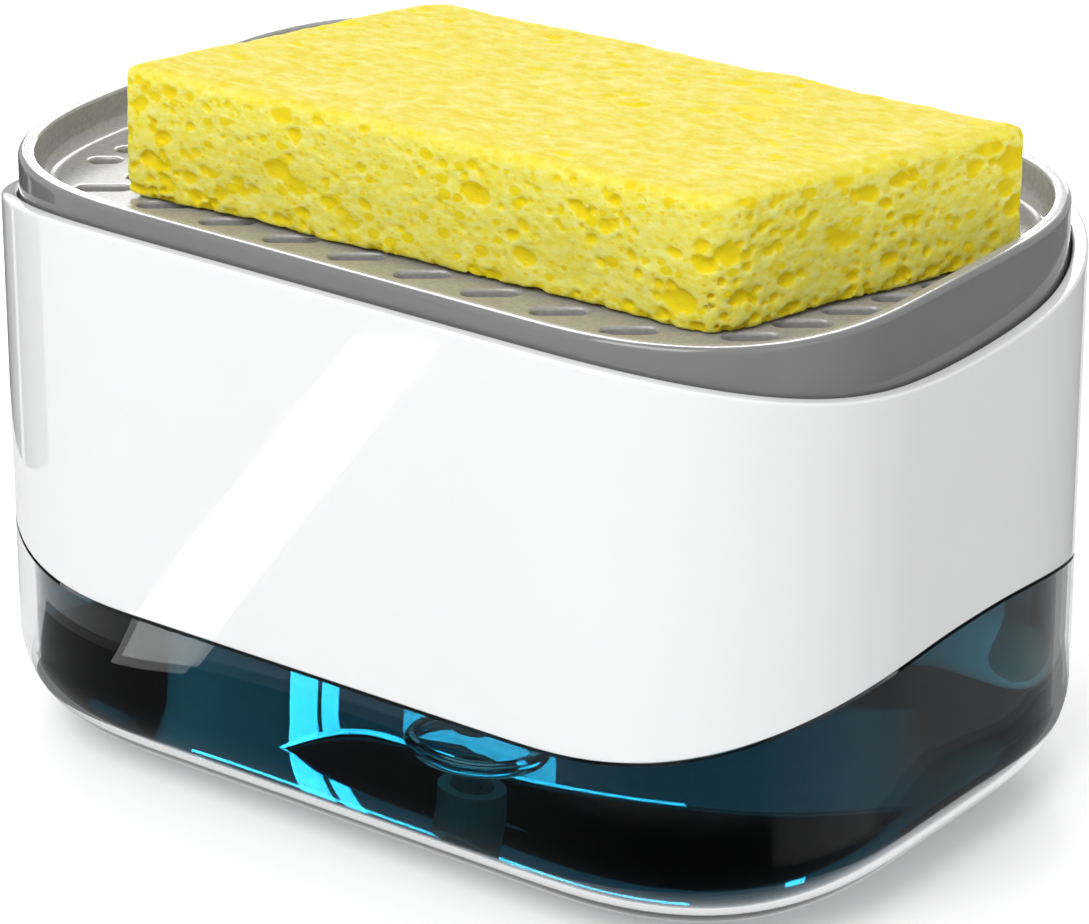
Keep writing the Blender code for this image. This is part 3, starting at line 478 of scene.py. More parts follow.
# Sponge
SPONGE_SEED = 20
SPONGE_LENGTH = 0.0936
SPONGE_WIDTH = 0.0475
SPONGE_LEAN = 0.016
SPONGE_TURN = math.radians(2.6)
SPONGE_MIDDLE = (0.008, -0.0044)
SPONGE_BLUNT_RADIUS = 0.007
SPONGE_SHARP_RADIUS = 0.0010
SPONGE_EDGE = 0.0019
SPONGE_LOWER_EDGE = 0.0007
SPONGE_SHRINK = 0.0001
SPONGE_CELL = 0.00036
FAR_OUTSIDE = 0.01

# Unevenness: distance between bumps and their height. The top has a share of the sides' grain
SPONGE_SWELL = (0.009, 0.00018)
SPONGE_GRAIN = (0.0018, 0.00005)
SPONGE_SIDE_GRAIN = (0.0007, 0.00006)
PORE_GRAIN = (0.0009, 0.00005)
TOP_GRAIN_SHARE = 0.4


def sponge_corners():
    """Corners of the sponge's leaning plan, anticlockwise from the front left."""
    along = np.array([SPONGE_LENGTH * math.cos(SPONGE_TURN), SPONGE_LENGTH * math.sin(SPONGE_TURN)])
    back = np.array([SPONGE_LEAN, SPONGE_WIDTH])
    first = np.array(SPONGE_MIDDLE) - (along + back) / 2
    return np.array([first, first + along, first + along + back, first + back])


def polygon_distance(x, y, corners):
    """Signed distance to a convex polygon, negative inside."""
    best = np.full(x.shape, np.inf)
    inside = np.ones(x.shape, bool)
    for i in range(len(corners)):
        a, b = corners[i], corners[(i + 1) % len(corners)]
        e = b - a
        px, py = x - a[0], y - a[1]
        t = np.clip((px * e[0] + py * e[1]) / (e @ e), 0, 1)
        best = np.minimum(best, (px - e[0] * t) ** 2 + (py - e[1] * t) ** 2)
        inside &= (e[0] * py - e[1] * px) > 0
    d = np.sqrt(best)
    return np.where(inside, -d, d)


def rounded_corners(corners, radii, steps=10):
    """Outline of a convex polygon whose corners are arcs."""
    loop = []
    for i, radius in enumerate(radii):
        before = corners[i] - corners[i - 1]
        after = corners[(i + 1) % len(corners)] - corners[i]
        before /= np.linalg.norm(before)
        after /= np.linalg.norm(after)
        turn = math.atan2(before[0] * after[1] - before[1] * after[0], before @ after)
        inward = np.array([-before[1], before[0]])
        centre = corners[i] - before * radius * math.tan(turn / 2) + inward * radius
        first = math.atan2(-inward[1], -inward[0])
        for step in range(steps + 1):
            a = first + turn * step / steps
            loop.append(centre + radius * np.array([math.cos(a), math.sin(a)]))
    return np.array(loop)


def smooth_noise(shape, spacing_cells, rng):
    """Smooth noise on a grid, from a coarser grid of random values."""
    coarse = [max(4, int(math.ceil(s / spacing_cells)) + 3) for s in shape]
    field = rng.standard_normal(coarse)
    for axis, size in enumerate(shape):
        place = np.arange(size) / spacing_cells + 0.5
        i = np.floor(place).astype(int)
        f = place - i
        f = f * f * (3 - 2 * f)
        low = np.take(field, i, axis=axis)
        high = np.take(field, i + 1, axis=axis)
        f = f.reshape([-1 if a == axis else 1 for a in range(3)])
        field = low * (1 - f) + high * f
    return field


def bumps(shape, cell, kind, rng):
    """Noise with a distance between its bumps and a height."""
    spacing, height = kind
    return smooth_noise(shape, spacing / cell, rng) * height


def surface_nets(field, origin, cell):
    """Closed surface where the field crosses zero, negative inside."""
    inside = field < 0
    nx, ny, nz = field.shape
    total = np.zeros((nx - 1, ny - 1, nz - 1, 3), np.float32)
    count = np.zeros((nx - 1, ny - 1, nz - 1), np.float32)
    steps = [(0, 0, 0), (1, 0, 0), (0, 1, 0), (1, 1, 0), (0, 0, 1), (1, 0, 1), (0, 1, 1), (1, 1, 1)]

    def part(a, s):
        return a[s[0]:s[0] + nx - 1, s[1]:s[1] + ny - 1, s[2]:s[2] + nz - 1]

    for axis in range(3):
        for s in steps:
            if s[axis]:
                continue
            t = list(s)
            t[axis] = 1
            a, b = part(field, s), part(field, t)
            cross = part(inside, s) != part(inside, t)
            share = np.where(cross, a / np.where(cross, a - b, 1), 0)
            for k in range(3):
                total[..., k] += np.where(cross, s[k] + (share if k == axis else 0), 0)
            count += cross
    used = count > 0
    index = np.full(used.shape, -1, np.int64)
    index[used] = np.arange(used.sum())
    cells = np.argwhere(used)
    verts = (cells + total[used] / count[used][:, None]) * cell + np.array(origin)
    faces = []
    for axis in range(3):
        u, v = (axis + 1) % 3, (axis + 2) % 3
        a = [slice(1, -1)] * 3
        a[axis] = slice(0, -1)
        b = list(a)
        b[axis] = slice(1, None)
        first, second = inside[tuple(a)], inside[tuple(b)]
        places = np.argwhere(first != second)
        flip = second[tuple(places.T)]
        base = places.copy()
        for k in range(3):
            if k != axis:
                base[:, k] += 1
        quad = []
        for du, dv in ((0, 0), (1, 0), (1, 1), (0, 1)):
            c = base.copy()
            c[:, u] -= du
            c[:, v] -= dv
            quad.append(index[c[:, 0], c[:, 1], c[:, 2]])
        quad = np.stack(quad, 1)
        quad[flip] = quad[flip][:, ::-1]
        faces.append(quad)
    return verts, np.concatenate(faces)


# Pores: half length, spread of sizes, height for the length, depth, surface for each pore
SIDE_PORES = ((0.0016, 0.28, 0.62, 0.00060, 55e-6), (0.00095, 0.25, 0.70, 0.00050, 24e-6),
              (0.00055, 0.20, 0.80, 0.00036, 7e-6))
TOP_PORES = ((0.0018, 0.25, 0.42, 0.0004, 150e-6), (0.0010, 0.25, 0.5, 0.00035, 60e-6))
LOWER_EDGE_PORE = (0.0006, 0.3, 0.8, 0.0007, 2.5e-6)
LOWER_EDGE_HEIGHT = 0.0016
PORE_DEPTHS = (0.7, 1.2)
SIDE_TILT = (0, 0.25)
TOP_TILT = (0.05, 0.2)
# Depth below the skin at which the painted shade of a pore is full
PORE_SHADE_DEPTH = 0.00028


def side_pores(loop, rng):
    """Pores on the sponge's sides: middle, direction along the side, direction out and half sizes."""
    runs = np.roll(loop, -1, axis=0) - loop
    lengths = np.linalg.norm(runs, axis=1)
    ends = np.cumsum(lengths)
    height = SPONGE_HIGH.z - SPONGE_LOW.z

    def spot_on_side():
        place = rng.random() * ends[-1]
        i = int(np.searchsorted(ends, place))
        along = runs[i] / lengths[i]
        return loop[i] + along * (place - ends[i] + lengths[i]), along

    pores = []
    for half, spread, squeeze, depth, share in SIDE_PORES:
        for _ in range(int(ends[-1] * height / share)):
            spot, along = spot_on_side()
            z = SPONGE_LOW.z + rng.random() * height
            size = half * math.exp(rng.normal(0, spread))
            tilt = rng.normal(*SIDE_TILT)
            u = np.array([along[0] * math.cos(tilt), along[1] * math.cos(tilt), math.sin(tilt)])
            w = np.array([along[1], -along[0], 0.0])
            pores.append(((*spot, z), u, w, (size, size * squeeze, depth * rng.uniform(*PORE_DEPTHS))))
    # Small level ones along the lower edge
    half, spread, squeeze, depth, share = LOWER_EDGE_PORE
    for _ in range(int(ends[-1] * LOWER_EDGE_HEIGHT / share)):
        spot, along = spot_on_side()
        z = SPONGE_LOW.z + rng.random() * LOWER_EDGE_HEIGHT
        size = half * math.exp(rng.normal(0, spread))
        u = np.array([*along, 0.0])
        w = np.array([along[1], -along[0], 0.0])
        pores.append(((*spot, z), u, w, (size, size * squeeze, depth)))
    return pores


def top_pores(loop, rng):
    """Pores on the sponge's top and underside, as for the sides."""
    low, high = loop.min(0), loop.max(0)
    pores = []
    for half, spread, squeeze, depth, share in TOP_PORES:
        for z, up in ((SPONGE_HIGH.z, 1.0), (SPONGE_LOW.z, -1.0)):
            for _ in range(int(np.prod(high - low) / share)):
                spot = low + rng.random(2) * (high - low)
                size = half * math.exp(rng.normal(0, spread))
                tilt = rng.normal(*TOP_TILT)
                u = np.array([math.cos(tilt), math.sin(tilt), 0.0])
                w = np.array([0.0, 0.0, up])
                pores.append(((*spot, z), u, w, (size, size * squeeze, depth * rng.uniform(*PORE_DEPTHS))))
    return pores


def carve(hollow, axes, low, cell, pores):
    """Distance to the nearest pore, each an ellipsoid whose middle lies on the surface."""
    size = np.array(hollow.shape)
    for middle, u, w, (a, b, c) in pores:
        middle = np.array(middle)
        v = np.cross(w, u)
        reach = a + 2 * cell
        first = np.clip(np.floor((middle - reach - low) / cell).astype(int), 0, size)
        last = np.clip(np.ceil((middle + reach - low) / cell).astype(int) + 1, 0, size)
        if (first >= last).any():
            continue
        gx, gy, gz = np.ix_(*(axes[k][first[k]:last[k]] - middle[k] for k in range(3)))
        parts = [(gx * d[0] + gy * d[1] + gz * d[2]) / s for d, s in ((u, a), (v, b), (w, c))]
        distance = (np.sqrt(parts[0] ** 2 + parts[1] ** 2 + parts[2] ** 2) - 1) * min(b, c)
        view = hollow[first[0]:last[0], first[1]:last[1], first[2]:last[2]]
        np.minimum(view, distance, out=view)


def sample(values, places):
    """Values of a grid between its points, linear in each direction."""
    whole = np.clip(np.floor(places).astype(int), 0, np.array(values.shape) - 2)
    share = places - whole
    total = np.zeros(len(places))
    for corner in np.ndindex(2, 2, 2):
        weight = np.prod(np.where(corner, share, 1 - share), axis=1)
        total += weight * values[tuple((whole + corner).T)]
    return total


def mesh_from_quads(name, verts, faces):
    """Mesh of four-sided faces from arrays, which is quick for many of them."""
    mesh = bpy.data.meshes.new(name)
    mesh.vertices.add(len(verts))
    mesh.vertices.foreach_set("co", verts.astype(np.float32).ravel())
    mesh.loops.add(faces.size)
    mesh.loops.foreach_set("vertex_index", faces.astype(np.int32).ravel())
    mesh.polygons.add(len(faces))
    mesh.polygons.foreach_set("loop_start", np.arange(0, faces.size, 4, dtype=np.int32))
    mesh.polygons.foreach_set("loop_total", np.full(len(faces), 4, np.int32))
    mesh.update(calc_edges=True)
    mesh.validate()
    return mesh


def make_sponge():
    """Sponge as the skin of a grid of distances: a rounded block, less its pores."""
    cell = SPONGE_CELL
    rng = np.random.default_rng(SPONGE_SEED)
    corners = sponge_corners()
    low = np.array([corners[:, 0].min(), corners[:, 1].min(), SPONGE_LOW.z]) - 3 * cell
    high = np.array([corners[:, 0].max(), corners[:, 1].max(), SPONGE_HIGH.z]) + 3 * cell
    size = np.ceil((high - low) / cell).astype(int) + 1
    axes = [low[k] + cell * np.arange(size[k]) for k in range(3)]
    x, y = np.meshgrid(axes[0], axes[1], indexing="ij")
    loop = rounded_corners(corners, [SPONGE_SHARP_RADIUS, SPONGE_BLUNT_RADIUS] * 2)
    plan = polygon_distance(x, y, loop)
    middle = (SPONGE_LOW.z + SPONGE_HIGH.z) / 2
    half = (SPONGE_HIGH.z - SPONGE_LOW.z) / 2
    edge = np.where(axes[2] > middle, SPONGE_EDGE, SPONGE_LOWER_EDGE)[None, None, :]
    across = plan[:, :, None] + edge
    upright = (np.abs(axes[2] - middle) - half)[None, None, :] + edge
    block = np.hypot(np.maximum(across, 0), np.maximum(upright, 0)) - edge
    block = block + np.minimum(np.maximum(across, upright), 0)
    side = np.clip((across - upright) / SPONGE_EDGE, -1, 1) / 2 + 0.5
    wobble = bumps(block.shape, cell, SPONGE_SWELL, rng)
    wobble += bumps(block.shape, cell, SPONGE_GRAIN, rng)
    grain_share = TOP_GRAIN_SHARE + (1 - TOP_GRAIN_SHARE) * side
    wobble += bumps(block.shape, cell, SPONGE_SIDE_GRAIN, rng) * grain_share
    block = block + wobble + SPONGE_SHRINK
    hollow = np.full(block.shape, FAR_OUTSIDE)
    carve(hollow, axes, low, cell, side_pores(loop, rng) + top_pores(loop, rng))
    hollow += bumps(block.shape, cell, PORE_GRAIN, rng)
    field = np.pad(np.maximum(block, -hollow), 1, constant_values=FAR_OUTSIDE)
    verts, faces = surface_nets(field, low - cell, cell)
    # Depth below the block's own skin, for the painted shade in the pores
    depth = -sample(block, (verts - low) / cell)
    share = sample(side, (verts - low) / cell)
    verts[:, 2] = np.maximum(verts[:, 2], SPONGE_LOW.z)
    mesh = mesh_from_quads("sponge_foam", verts, faces)
    for name, values in (("pore_depth", np.clip(depth / PORE_SHADE_DEPTH, 0, 1)), ("side_share", share)):
        layer = mesh.attributes.new(name, "FLOAT", "POINT")
        layer.data.foreach_set("value", values.astype(np.float32))
    mesh.shade_smooth()
    thing = bpy.data.objects.new("sponge_foam", mesh)
    bpy.context.scene.collection.objects.link(thing)
    return thing


class Nodes:
    """Short way to build a material's node tree."""

    def __init__(self, name):
        self.material = bpy.data.materials.new(name)
        self.material.use_nodes = True
        self.tree = self.material.node_tree
        self.shader = self.tree.nodes["Principled BSDF"]
        self.output = self.tree.nodes["Material Output"]
        self.coords = self.tree.nodes.new("ShaderNodeTexCoord")

    def node(self, kind, **values):
        node = self.tree.nodes.new(kind)
        for key, value in values.items():
            if hasattr(node, key):
                setattr(node, key, value)
            else:
                node.inputs[key.replace("_", " ")].default_value = value
        return node

    def link(self, source, target):
        self.tree.links.new(source, target)

    def set(self, **values):
        for key, value in values.items():
            self.shader.inputs[key.replace("_", " ")].default_value = value

    def noise(self, scale, detail=3.0, rough=0.5, stretch=None):
        node = self.node("ShaderNodeTexNoise", Scale=scale, Detail=detail, Roughness=rough)
        if stretch:
            mapping = self.node("ShaderNodeMapping")
            mapping.inputs["Scale"].default_value = stretch
            self.link(self.coords.outputs["Object"], mapping.inputs["Vector"])
            self.link(mapping.outputs["Vector"], node.inputs["Vector"])
        else:
            self.link(self.coords.outputs["Object"], node.inputs["Vector"])
        return node.outputs["Fac"]

    def ramp(self, source, stops):
        node = self.node("ShaderNodeValToRGB")
        elements = node.color_ramp.elements
        while len(elements) < len(stops):
            elements.new(0.5)
        for element, (place, colour) in zip(elements, stops):
            element.position = place
            element.color = (*colour, 1) if len(colour) == 3 else colour
        self.link(source, node.inputs["Fac"])
        return node.outputs["Color"]

    def range(self, source, low, high, from_low=0.0, from_high=1.0):
        node = self.node("ShaderNodeMapRange")
        node.inputs["From Min"].default_value = from_low
        node.inputs["From Max"].default_value = from_high
        node.inputs["To Min"].default_value = low
        node.inputs["To Max"].default_value = high
        self.link(source, node.inputs["Value"])
        return node.outputs["Result"]

    def bump(self, height, strength, distance, chain=None):
        node = self.node("ShaderNodeBump")
        node.inputs["Strength"].default_value = strength
        node.inputs["Distance"].default_value = distance
        self.link(height, node.inputs["Height"])
        if chain is not None:
            self.link(chain, node.inputs["Normal"])
        return node.outputs["Normal"]

    def mix(self, share, first, second):
        node = self.node("ShaderNodeMix", data_type="RGBA")
        self.link(share, node.inputs[0])
        self.link(first, node.inputs[6])
        self.link(second, node.inputs[7])
        return node.outputs[2]

    def larger(self, first, second):
        node = self.node("ShaderNodeMath", operation="MAXIMUM")
        self.link(first, node.inputs[0])
        self.link(second, node.inputs[1])
        return node.outputs[0]

    def emission(self, strength):
        node = self.node("ShaderNodeEmission", Color=(1, 1, 1, 1), Strength=strength)
        return node.outputs["Emission"]

    def blend(self, share, first, second):
        """Mix of two shaders."""
        node = self.node("ShaderNodeMixShader")
        self.link(share, node.inputs["Fac"])
        self.link(first, node.inputs[1])
        self.link(second, node.inputs[2])
        return node.outputs["Shader"]

    def wire(self, source, socket):
        self.link(source, self.shader.inputs[socket])


def plastic(name, colour, dark, rough, rough_to, scale=60, bump=0.02, spec=0.5):
    """Moulded plastic: faint mottling, uneven gloss and a very fine skin."""
    n = Nodes(name)
    n.wire(n.ramp(n.noise(scale, 4), [(0.3, dark), (0.7, colour)]), "Base Color")
    n.wire(n.range(n.noise(scale * 3, 3), rough, rough_to, 0.35, 0.65), "Roughness")
    if bump:
        n.wire(n.bump(n.noise(900, 2), bump, 0.0002), "Normal")
    n.set(Specular_IOR_Level=spec)
    return n


def white_plastic():
    n = plastic("white_gloss", (0.875, 0.88, 0.885), (0.865, 0.868, 0.875), 0.03, 0.06, 40, 0)
    n.set(IOR=1.5, Coat_Weight=0.3, Coat_Roughness=0.02)
    return n.material


def grey_plastic():
    """Glossy outside, finely grained inside the dish and on the rim, where a lighter grey paints the light
    that falls from above.
    """
    n = Nodes("grey_gloss")
    dish = n.node("ShaderNodeAttribute", attribute_name="dish_share").outputs["Fac"]
    mottle = n.noise(60, 4)
    glossy = n.ramp(mottle, [(0.3, (0.175, 0.175, 0.178)), (0.7, (0.19, 0.19, 0.193))])
    # Painted light: a lighter grey inside the dish and on the rim than on the outside wall; the fine grain is
    # real
    grained_painted_light_grey = n.ramp(n.noise(1400, 3, 0.7), [(0.35, (0.31, 0.31, 0.313)), (0.65, (0.38, 0.38, 0.383))])
    n.wire(n.mix(dish, glossy, grained_painted_light_grey), "Base Color")
    n.wire(n.range(dish, 0.08, 0.17), "Roughness")
    n.wire(n.bump(n.noise(1800, 2, 0.5), 0.04, 0.00005), "Normal")
    n.set(IOR=1.6)
    return n.material


def clear_plastic():
    """Clear wall. Its index of refraction is set low, so that the window mirrors little of the white room."""
    n = Nodes("clear_gloss")
    n.set(Base_Color=(0.97, 0.985, 0.99, 1), Transmission_Weight=1.0, IOR=1.32)
    n.set(Specular_Tint=(0.15, 0.15, 0.15, 1))
    n.wire(n.range(n.noise(120, 3), 0.0, 0.006, 0.4, 0.7), "Roughness")
    return n.material


def soap_material():
    """Blue-green soap that darkens with depth, with an index of refraction set low as for the wall."""
    n = Nodes("dish_soap")
    n.set(Base_Color=(1, 1, 1, 1), Transmission_Weight=1.0, IOR=1.25, Roughness=0.0)
    n.set(Specular_Tint=(0.15, 0.15, 0.15, 1))
    absorb = n.node("ShaderNodeVolumeAbsorption")
    absorb.inputs["Color"].default_value = (0.75, 0.8625, 0.883, 1)
    absorb.inputs["Density"].default_value = 240
    n.link(absorb.outputs["Volume"], n.output.inputs["Volume"])
    return n.material


def pump_plastic():
    n = plastic("pump_satin", (0.80, 0.80, 0.78), (0.76, 0.76, 0.74), 0.32, 0.42, 200, 0.03)
    return n.material


def tube_plastic():
    n = plastic("tube_milky", (0.74, 0.77, 0.78), (0.70, 0.73, 0.75), 0.25, 0.35, 150, 0.02)
    n.set(Transmission_Weight=0.35)
    return n.material


def rubber():
    n = plastic("foot_rubber", (0.035, 0.035, 0.036), (0.02, 0.02, 0.021), 0.6, 0.8, 300, 0.15)
    return n.material


def silicone():
    n = plastic("silicone", (0.68, 0.70, 0.70), (0.62, 0.64, 0.64), 0.45, 0.6, 250, 0.06)
    return n.material


def steel():
    n = Nodes("spring_steel")
    n.wire(n.ramp(n.noise(400, 3), [(0.3, (0.50, 0.50, 0.52)), (0.7, (0.62, 0.62, 0.64))]), "Base Color")
    n.wire(n.range(n.noise(700, 2), 0.18, 0.34), "Roughness")
    n.set(Metallic=1.0)
    return n.material


def ball_glass():
    n = Nodes("valve_glass")
    n.set(Base_Color=(0.85, 0.92, 0.94, 1), Transmission_Weight=0.9, IOR=1.5)
    n.wire(n.range(n.noise(500, 2), 0.02, 0.08), "Roughness")
    return n.material


def round_pores(n, scale, small, large, stretch):
    """1 in the round cells that a surface cuts through, 0 on the web between them."""
    mapping = n.node("ShaderNodeMapping")
    mapping.inputs["Scale"].default_value = stretch
    n.link(n.coords.outputs["Object"], mapping.inputs["Vector"])
    cells = n.node("ShaderNodeTexVoronoi", Scale=scale)
    n.link(mapping.outputs["Vector"], cells.inputs["Vector"])
    pick = n.node("ShaderNodeSeparateColor")
    n.link(cells.outputs["Color"], pick.inputs["Color"])
    inside = n.node("ShaderNodeMath", operation="SUBTRACT")
    n.link(n.range(pick.outputs[0], small, large), inside.inputs[0])
    n.link(cells.outputs["Distance"], inside.inputs[1])
    return n.range(inside.outputs[0], 0.0, 1.0, -0.03, 0.05)


def sponge_material():
    """Yellow cellulose: pored sides and a fibrous top, with painted shade: a darker, deeper yellow down in
    the pores.
    """
    n = Nodes("cellulose")
    depth = n.node("ShaderNodeAttribute", attribute_name="pore_depth").outputs["Fac"]
    side = n.node("ShaderNodeAttribute", attribute_name="side_share").outputs["Fac"]
    speckle = n.noise(900, 5, 0.65, (0.6, 0.6, 1.3))
    skin_side = n.ramp(speckle, [(0.34, (0.88, 0.76, 0.05)), (0.50, (0.90, 0.82, 0.14)),
                                 (0.66, (0.92, 0.88, 0.28))])
    fibres = n.noise(620, 5, 0.66, (0.6, 1.0, 1.0))
    skin_top = n.ramp(fibres, [(0.37, (0.77, 0.595, 0.008)), (0.50, (0.79, 0.66, 0.06)),
                               (0.66, (0.815, 0.73, 0.19))])
    # Painted shade: the darker, deeper yellow of the pores, also given to the small painted pores
    shaded_pore_yellow = n.ramp(n.noise(350, 3), [(0.3, (0.87, 0.66, 0.002)), (0.7, (0.90, 0.73, 0.006))])
    flat = (1.0, 1.0, 1.4)
    small_holes = n.range(round_pores(n, 820, 0.0, 0.42, flat), 0.0, 0.75)
    holes = n.larger(round_pores(n, 350, 0.04, 0.42, flat), small_holes)
    small_pits = round_pores(n, 420, -0.05, 0.30, (0.5, 1.0, 1.0))
    pits = n.larger(round_pores(n, 150, 0.0, 0.26, (0.4, 1.0, 1.0)), small_pits)
    top = n.mix(n.range(pits, 0.0, 0.65), skin_top, shaded_pore_yellow)
    skin = n.mix(side, top, n.mix(n.range(holes, 0.0, 0.95), skin_side, shaded_pore_yellow))
    # Painted shade in the carved pores, deepening with their depth below the skin
    n.wire(n.mix(n.range(depth, 0.0, 0.95, 0.25, 0.7), skin, shaded_pore_yellow), "Base Color")
    n.wire(n.range(n.noise(300, 2), 0.72, 0.95), "Roughness")
    sunk = n.range(n.mix(side, pits, holes), 1.0, 0.0)
    first = n.bump(speckle, 0.15, 0.0004, n.bump(sunk, 0.35, 0.00015))
    n.wire(n.bump(n.noise(2600, 3, 0.6), 0.2, 0.0002, first), "Normal")
    n.set(Subsurface_Weight=0.35, Subsurface_Scale=0.002, Specular_IOR_Level=0.2)
    n.shader.inputs["Subsurface Radius"].default_value = (1.0, 0.8, 0.25)
    return n.material


def give(thing, material):
    thing.data.materials.clear()
    thing.data.materials.append(material)


def dress(names, material):
    """Give CAD nodes that no finer piece replaces their material."""
    for name in names:
        give(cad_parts[name], material)


# White surroundings: light of the room, and what the floor gives off for the camera and for mirror rays
ROOM_LIGHT = 0.46
FLOOR_HALF_SIDE = 3.0
FLOOR_GLOW = 0.28
FLOOR_MIRRORED = 0.85
FLOOR_FADE = (0.13, 0.55)

# Dark cards on the floor beside the object
CARD_FOOT_Z = 0.0005
CARD_HEIGHT = 0.075
CARD_FAR = ((-0.150, 0.080), (-0.150, -0.022))
CARD_NEAR = ((-0.150, -0.030), (-0.146, -0.077))
CARD_RIGHT = ((0.086, -0.040), (0.090, -0.010), (0.090, 0.025),
              (0.084, 0.052), (0.066, 0.068), (0.056, 0.076))
CARD_RIGHT_FADE = (-0.040, 0.005)

# Card that lies on the floor: insets of its edges from the outline, where its inner edge moves out along x,
# and how far back in y it reaches, up to each value of x
FLOOR_CARD_Z = 0.0004
FLOOR_CARD_GLOW = 0.12
FLOOR_CARD_INNER_LEFT = 0.0035
FLOOR_CARD_INNER_RIGHT = -0.0025
FLOOR_CARD_OUTER = -0.036
FLOOR_CARD_TURN_START = 0.020
FLOOR_CARD_TURN_LENGTH = 0.040
FLOOR_CARD_BACK = ((-0.050, -0.028), (0.0, 0.030), (math.inf, 0.047))

# Narrow lamps behind the object, and panels that only mirror rays see: name, place, width, height, radiance
GLINT_TARGET = (0, 0, 0.03)
GLINTS = (("tube_wide", (-0.587, 1.0, 0.43), 0.038, 0.34, 30),
          ("tube_thin", (-0.630, 1.0, 0.43), 0.022, 0.34, 30),
          ("bar", (-0.62, 1.0, 0.295), 0.50, 0.032, 28),
          ("ring_spot", (-0.76, 1.0, 0.6275), 0.035, 0.015, 14),
          ("corner_spot", (-1.0, 0.676, 0.44), 0.055, 0.10, 30))
PANELS = (("edge_soft", (-0.66, 1.0, 0.25), 0.9, 0.24, 8.0),
          ("rim_soft", (-0.73, 1.0, 0.62), 0.15, 0.14, 6.0),
          ("dish_soft", (-0.95, 1.0, 0.63), 0.28, 0.34, 1.6),
          ("upper_soft", (-0.55, 0.72, 0.98), 0.9, 0.9, 9.0))


def area(name, place, target, size, power, size_y=None):
    light = bpy.data.lights.new(name, "AREA")
    light.energy = power
    light.size = size
    if size_y:
        light.shape = "RECTANGLE"
        light.size_y = size_y
    thing = bpy.data.objects.new(name, light)
    thing.location = place
    direction = Vector(target) - Vector(place)
    thing.rotation_euler = direction.to_track_quat("-Z", "Y").to_euler()
    bpy.context.scene.collection.objects.link(thing)
    return thing


def glint(name, place, width, height, radiance):
    """A lamp behind the object of a given radiance, whose image shows in the soap and on the rims."""
    return area(name, place, GLINT_TARGET, width, radiance * math.pi * width * height, size_y=height)


def seen_rays(tree):
    """1 for the rays that show a background, from the camera, mirrored or refracted, and 0 for the others."""
    path = tree.nodes.new("ShaderNodeLightPath")
    total = path.outputs["Is Camera Ray"]
    for kind in ("Is Glossy Ray", "Is Transmission Ray"):
        most = tree.nodes.new("ShaderNodeMath")
        most.operation = "MAXIMUM"
        tree.links.new(total, most.inputs[0])
        tree.links.new(path.outputs[kind], most.inputs[1])
        total = most.outputs[0]
    return total


def make_world():
    """Soft even light, and plain white for the rays that show a background."""
    world = bpy.data.worlds.new("studio")
    bpy.context.scene.world = world
    world.use_nodes = True
    tree = world.node_tree
    tree.nodes.clear()
    out = tree.nodes.new("ShaderNodeOutputWorld")
    soft = tree.nodes.new("ShaderNodeBackground")
    soft.inputs["Color"].default_value = (1, 1, 1, 1)
    soft.inputs["Strength"].default_value = ROOM_LIGHT
    white = tree.nodes.new("ShaderNodeBackground")
    white.inputs["Color"].default_value = (1, 1, 1, 1)
    white.inputs["Strength"].default_value = 1.0
    mix = tree.nodes.new("ShaderNodeMixShader")
    tree.links.new(seen_rays(tree), mix.inputs["Fac"])
    tree.links.new(soft.outputs["Background"], mix.inputs[1])
    tree.links.new(white.outputs["Background"], mix.inputs[2])
    tree.links.new(mix.outputs["Shader"], out.inputs["Surface"])


def make_floor():
    """Matt white floor that keeps the object's shadow. For the camera it turns plain white further out."""
    s = FLOOR_HALF_SIDE
    mesh = bpy.data.meshes.new("floor")
    mesh.from_pydata([(-s, -s, 0), (s, -s, 0), (s, s, 0), (-s, s, 0)], [], [(0, 1, 2, 3)])
    floor = bpy.data.objects.new("floor", mesh)
    bpy.context.scene.collection.objects.link(floor)
    n = Nodes("floor_white")
    n.set(Roughness=0.7, Specular_IOR_Level=0.2)
    n.wire(n.ramp(n.noise(3, 2), [(0.3, (0.86, 0.86, 0.86)), (0.7, (0.88, 0.88, 0.88))]), "Base Color")
    path = n.node("ShaderNodeLightPath").outputs
    add = n.node("ShaderNodeAddShader")
    n.link(n.shader.outputs["BSDF"], add.inputs[0])
    n.link(n.blend(path["Is Camera Ray"], n.emission(0.0), n.emission(FLOOR_GLOW)), add.inputs[1])
    mirrored = n.larger(path["Is Glossy Ray"], path["Is Transmission Ray"])
    near = n.blend(mirrored, add.outputs["Shader"], n.emission(FLOOR_MIRRORED))
    away = n.node("ShaderNodeVectorMath", operation="LENGTH")
    n.link(n.coords.outputs["Object"], away.inputs[0])
    far = n.node("ShaderNodeMath", operation="MULTIPLY")
    n.link(n.range(away.outputs["Value"], 0.0, 1.0, *FLOOR_FADE), far.inputs[0])
    n.link(path["Is Camera Ray"], far.inputs[1])
    n.link(n.blend(far.outputs["Value"], near, n.emission(1.0)), n.output.inputs["Surface"])
    give(floor, n.material)


def stand_by(thing, fade=None, glow=0.0):
    """Make a mesh a dark card that shows only as a reflection. It may fade from white along y, or glow."""
    n = plastic("card_black", (0.02, 0.02, 0.02), (0.015, 0.015, 0.015), 0.85, 0.95, 40)
    if fade:
        along = n.node("ShaderNodeSeparateXYZ")
        n.link(n.coords.outputs["Object"], along.inputs["Vector"])
        n.wire(n.range(along.outputs["Y"], 1.0, 0.25, *fade), "Emission Strength")
        n.set(Emission_Color=(1, 1, 1, 1))
    elif glow:
        n.set(Emission_Color=(1, 1, 1, 1), Emission_Strength=glow)
    give(thing, n.material)
    thing.visible_camera = False
    thing.visible_diffuse = False
    thing.visible_shadow = False


def card(name, path, fade=None):
    """A card that stands on the floor beside the object."""
    verts = [(x, y, z) for x, y in path for z in (CARD_FOOT_Z, CARD_HEIGHT)]
    faces = [(2 * i, 2 * i + 2, 2 * i + 3, 2 * i + 1) for i in range(len(path) - 1)]
    stand_by(new_object(name, verts, faces), fade)


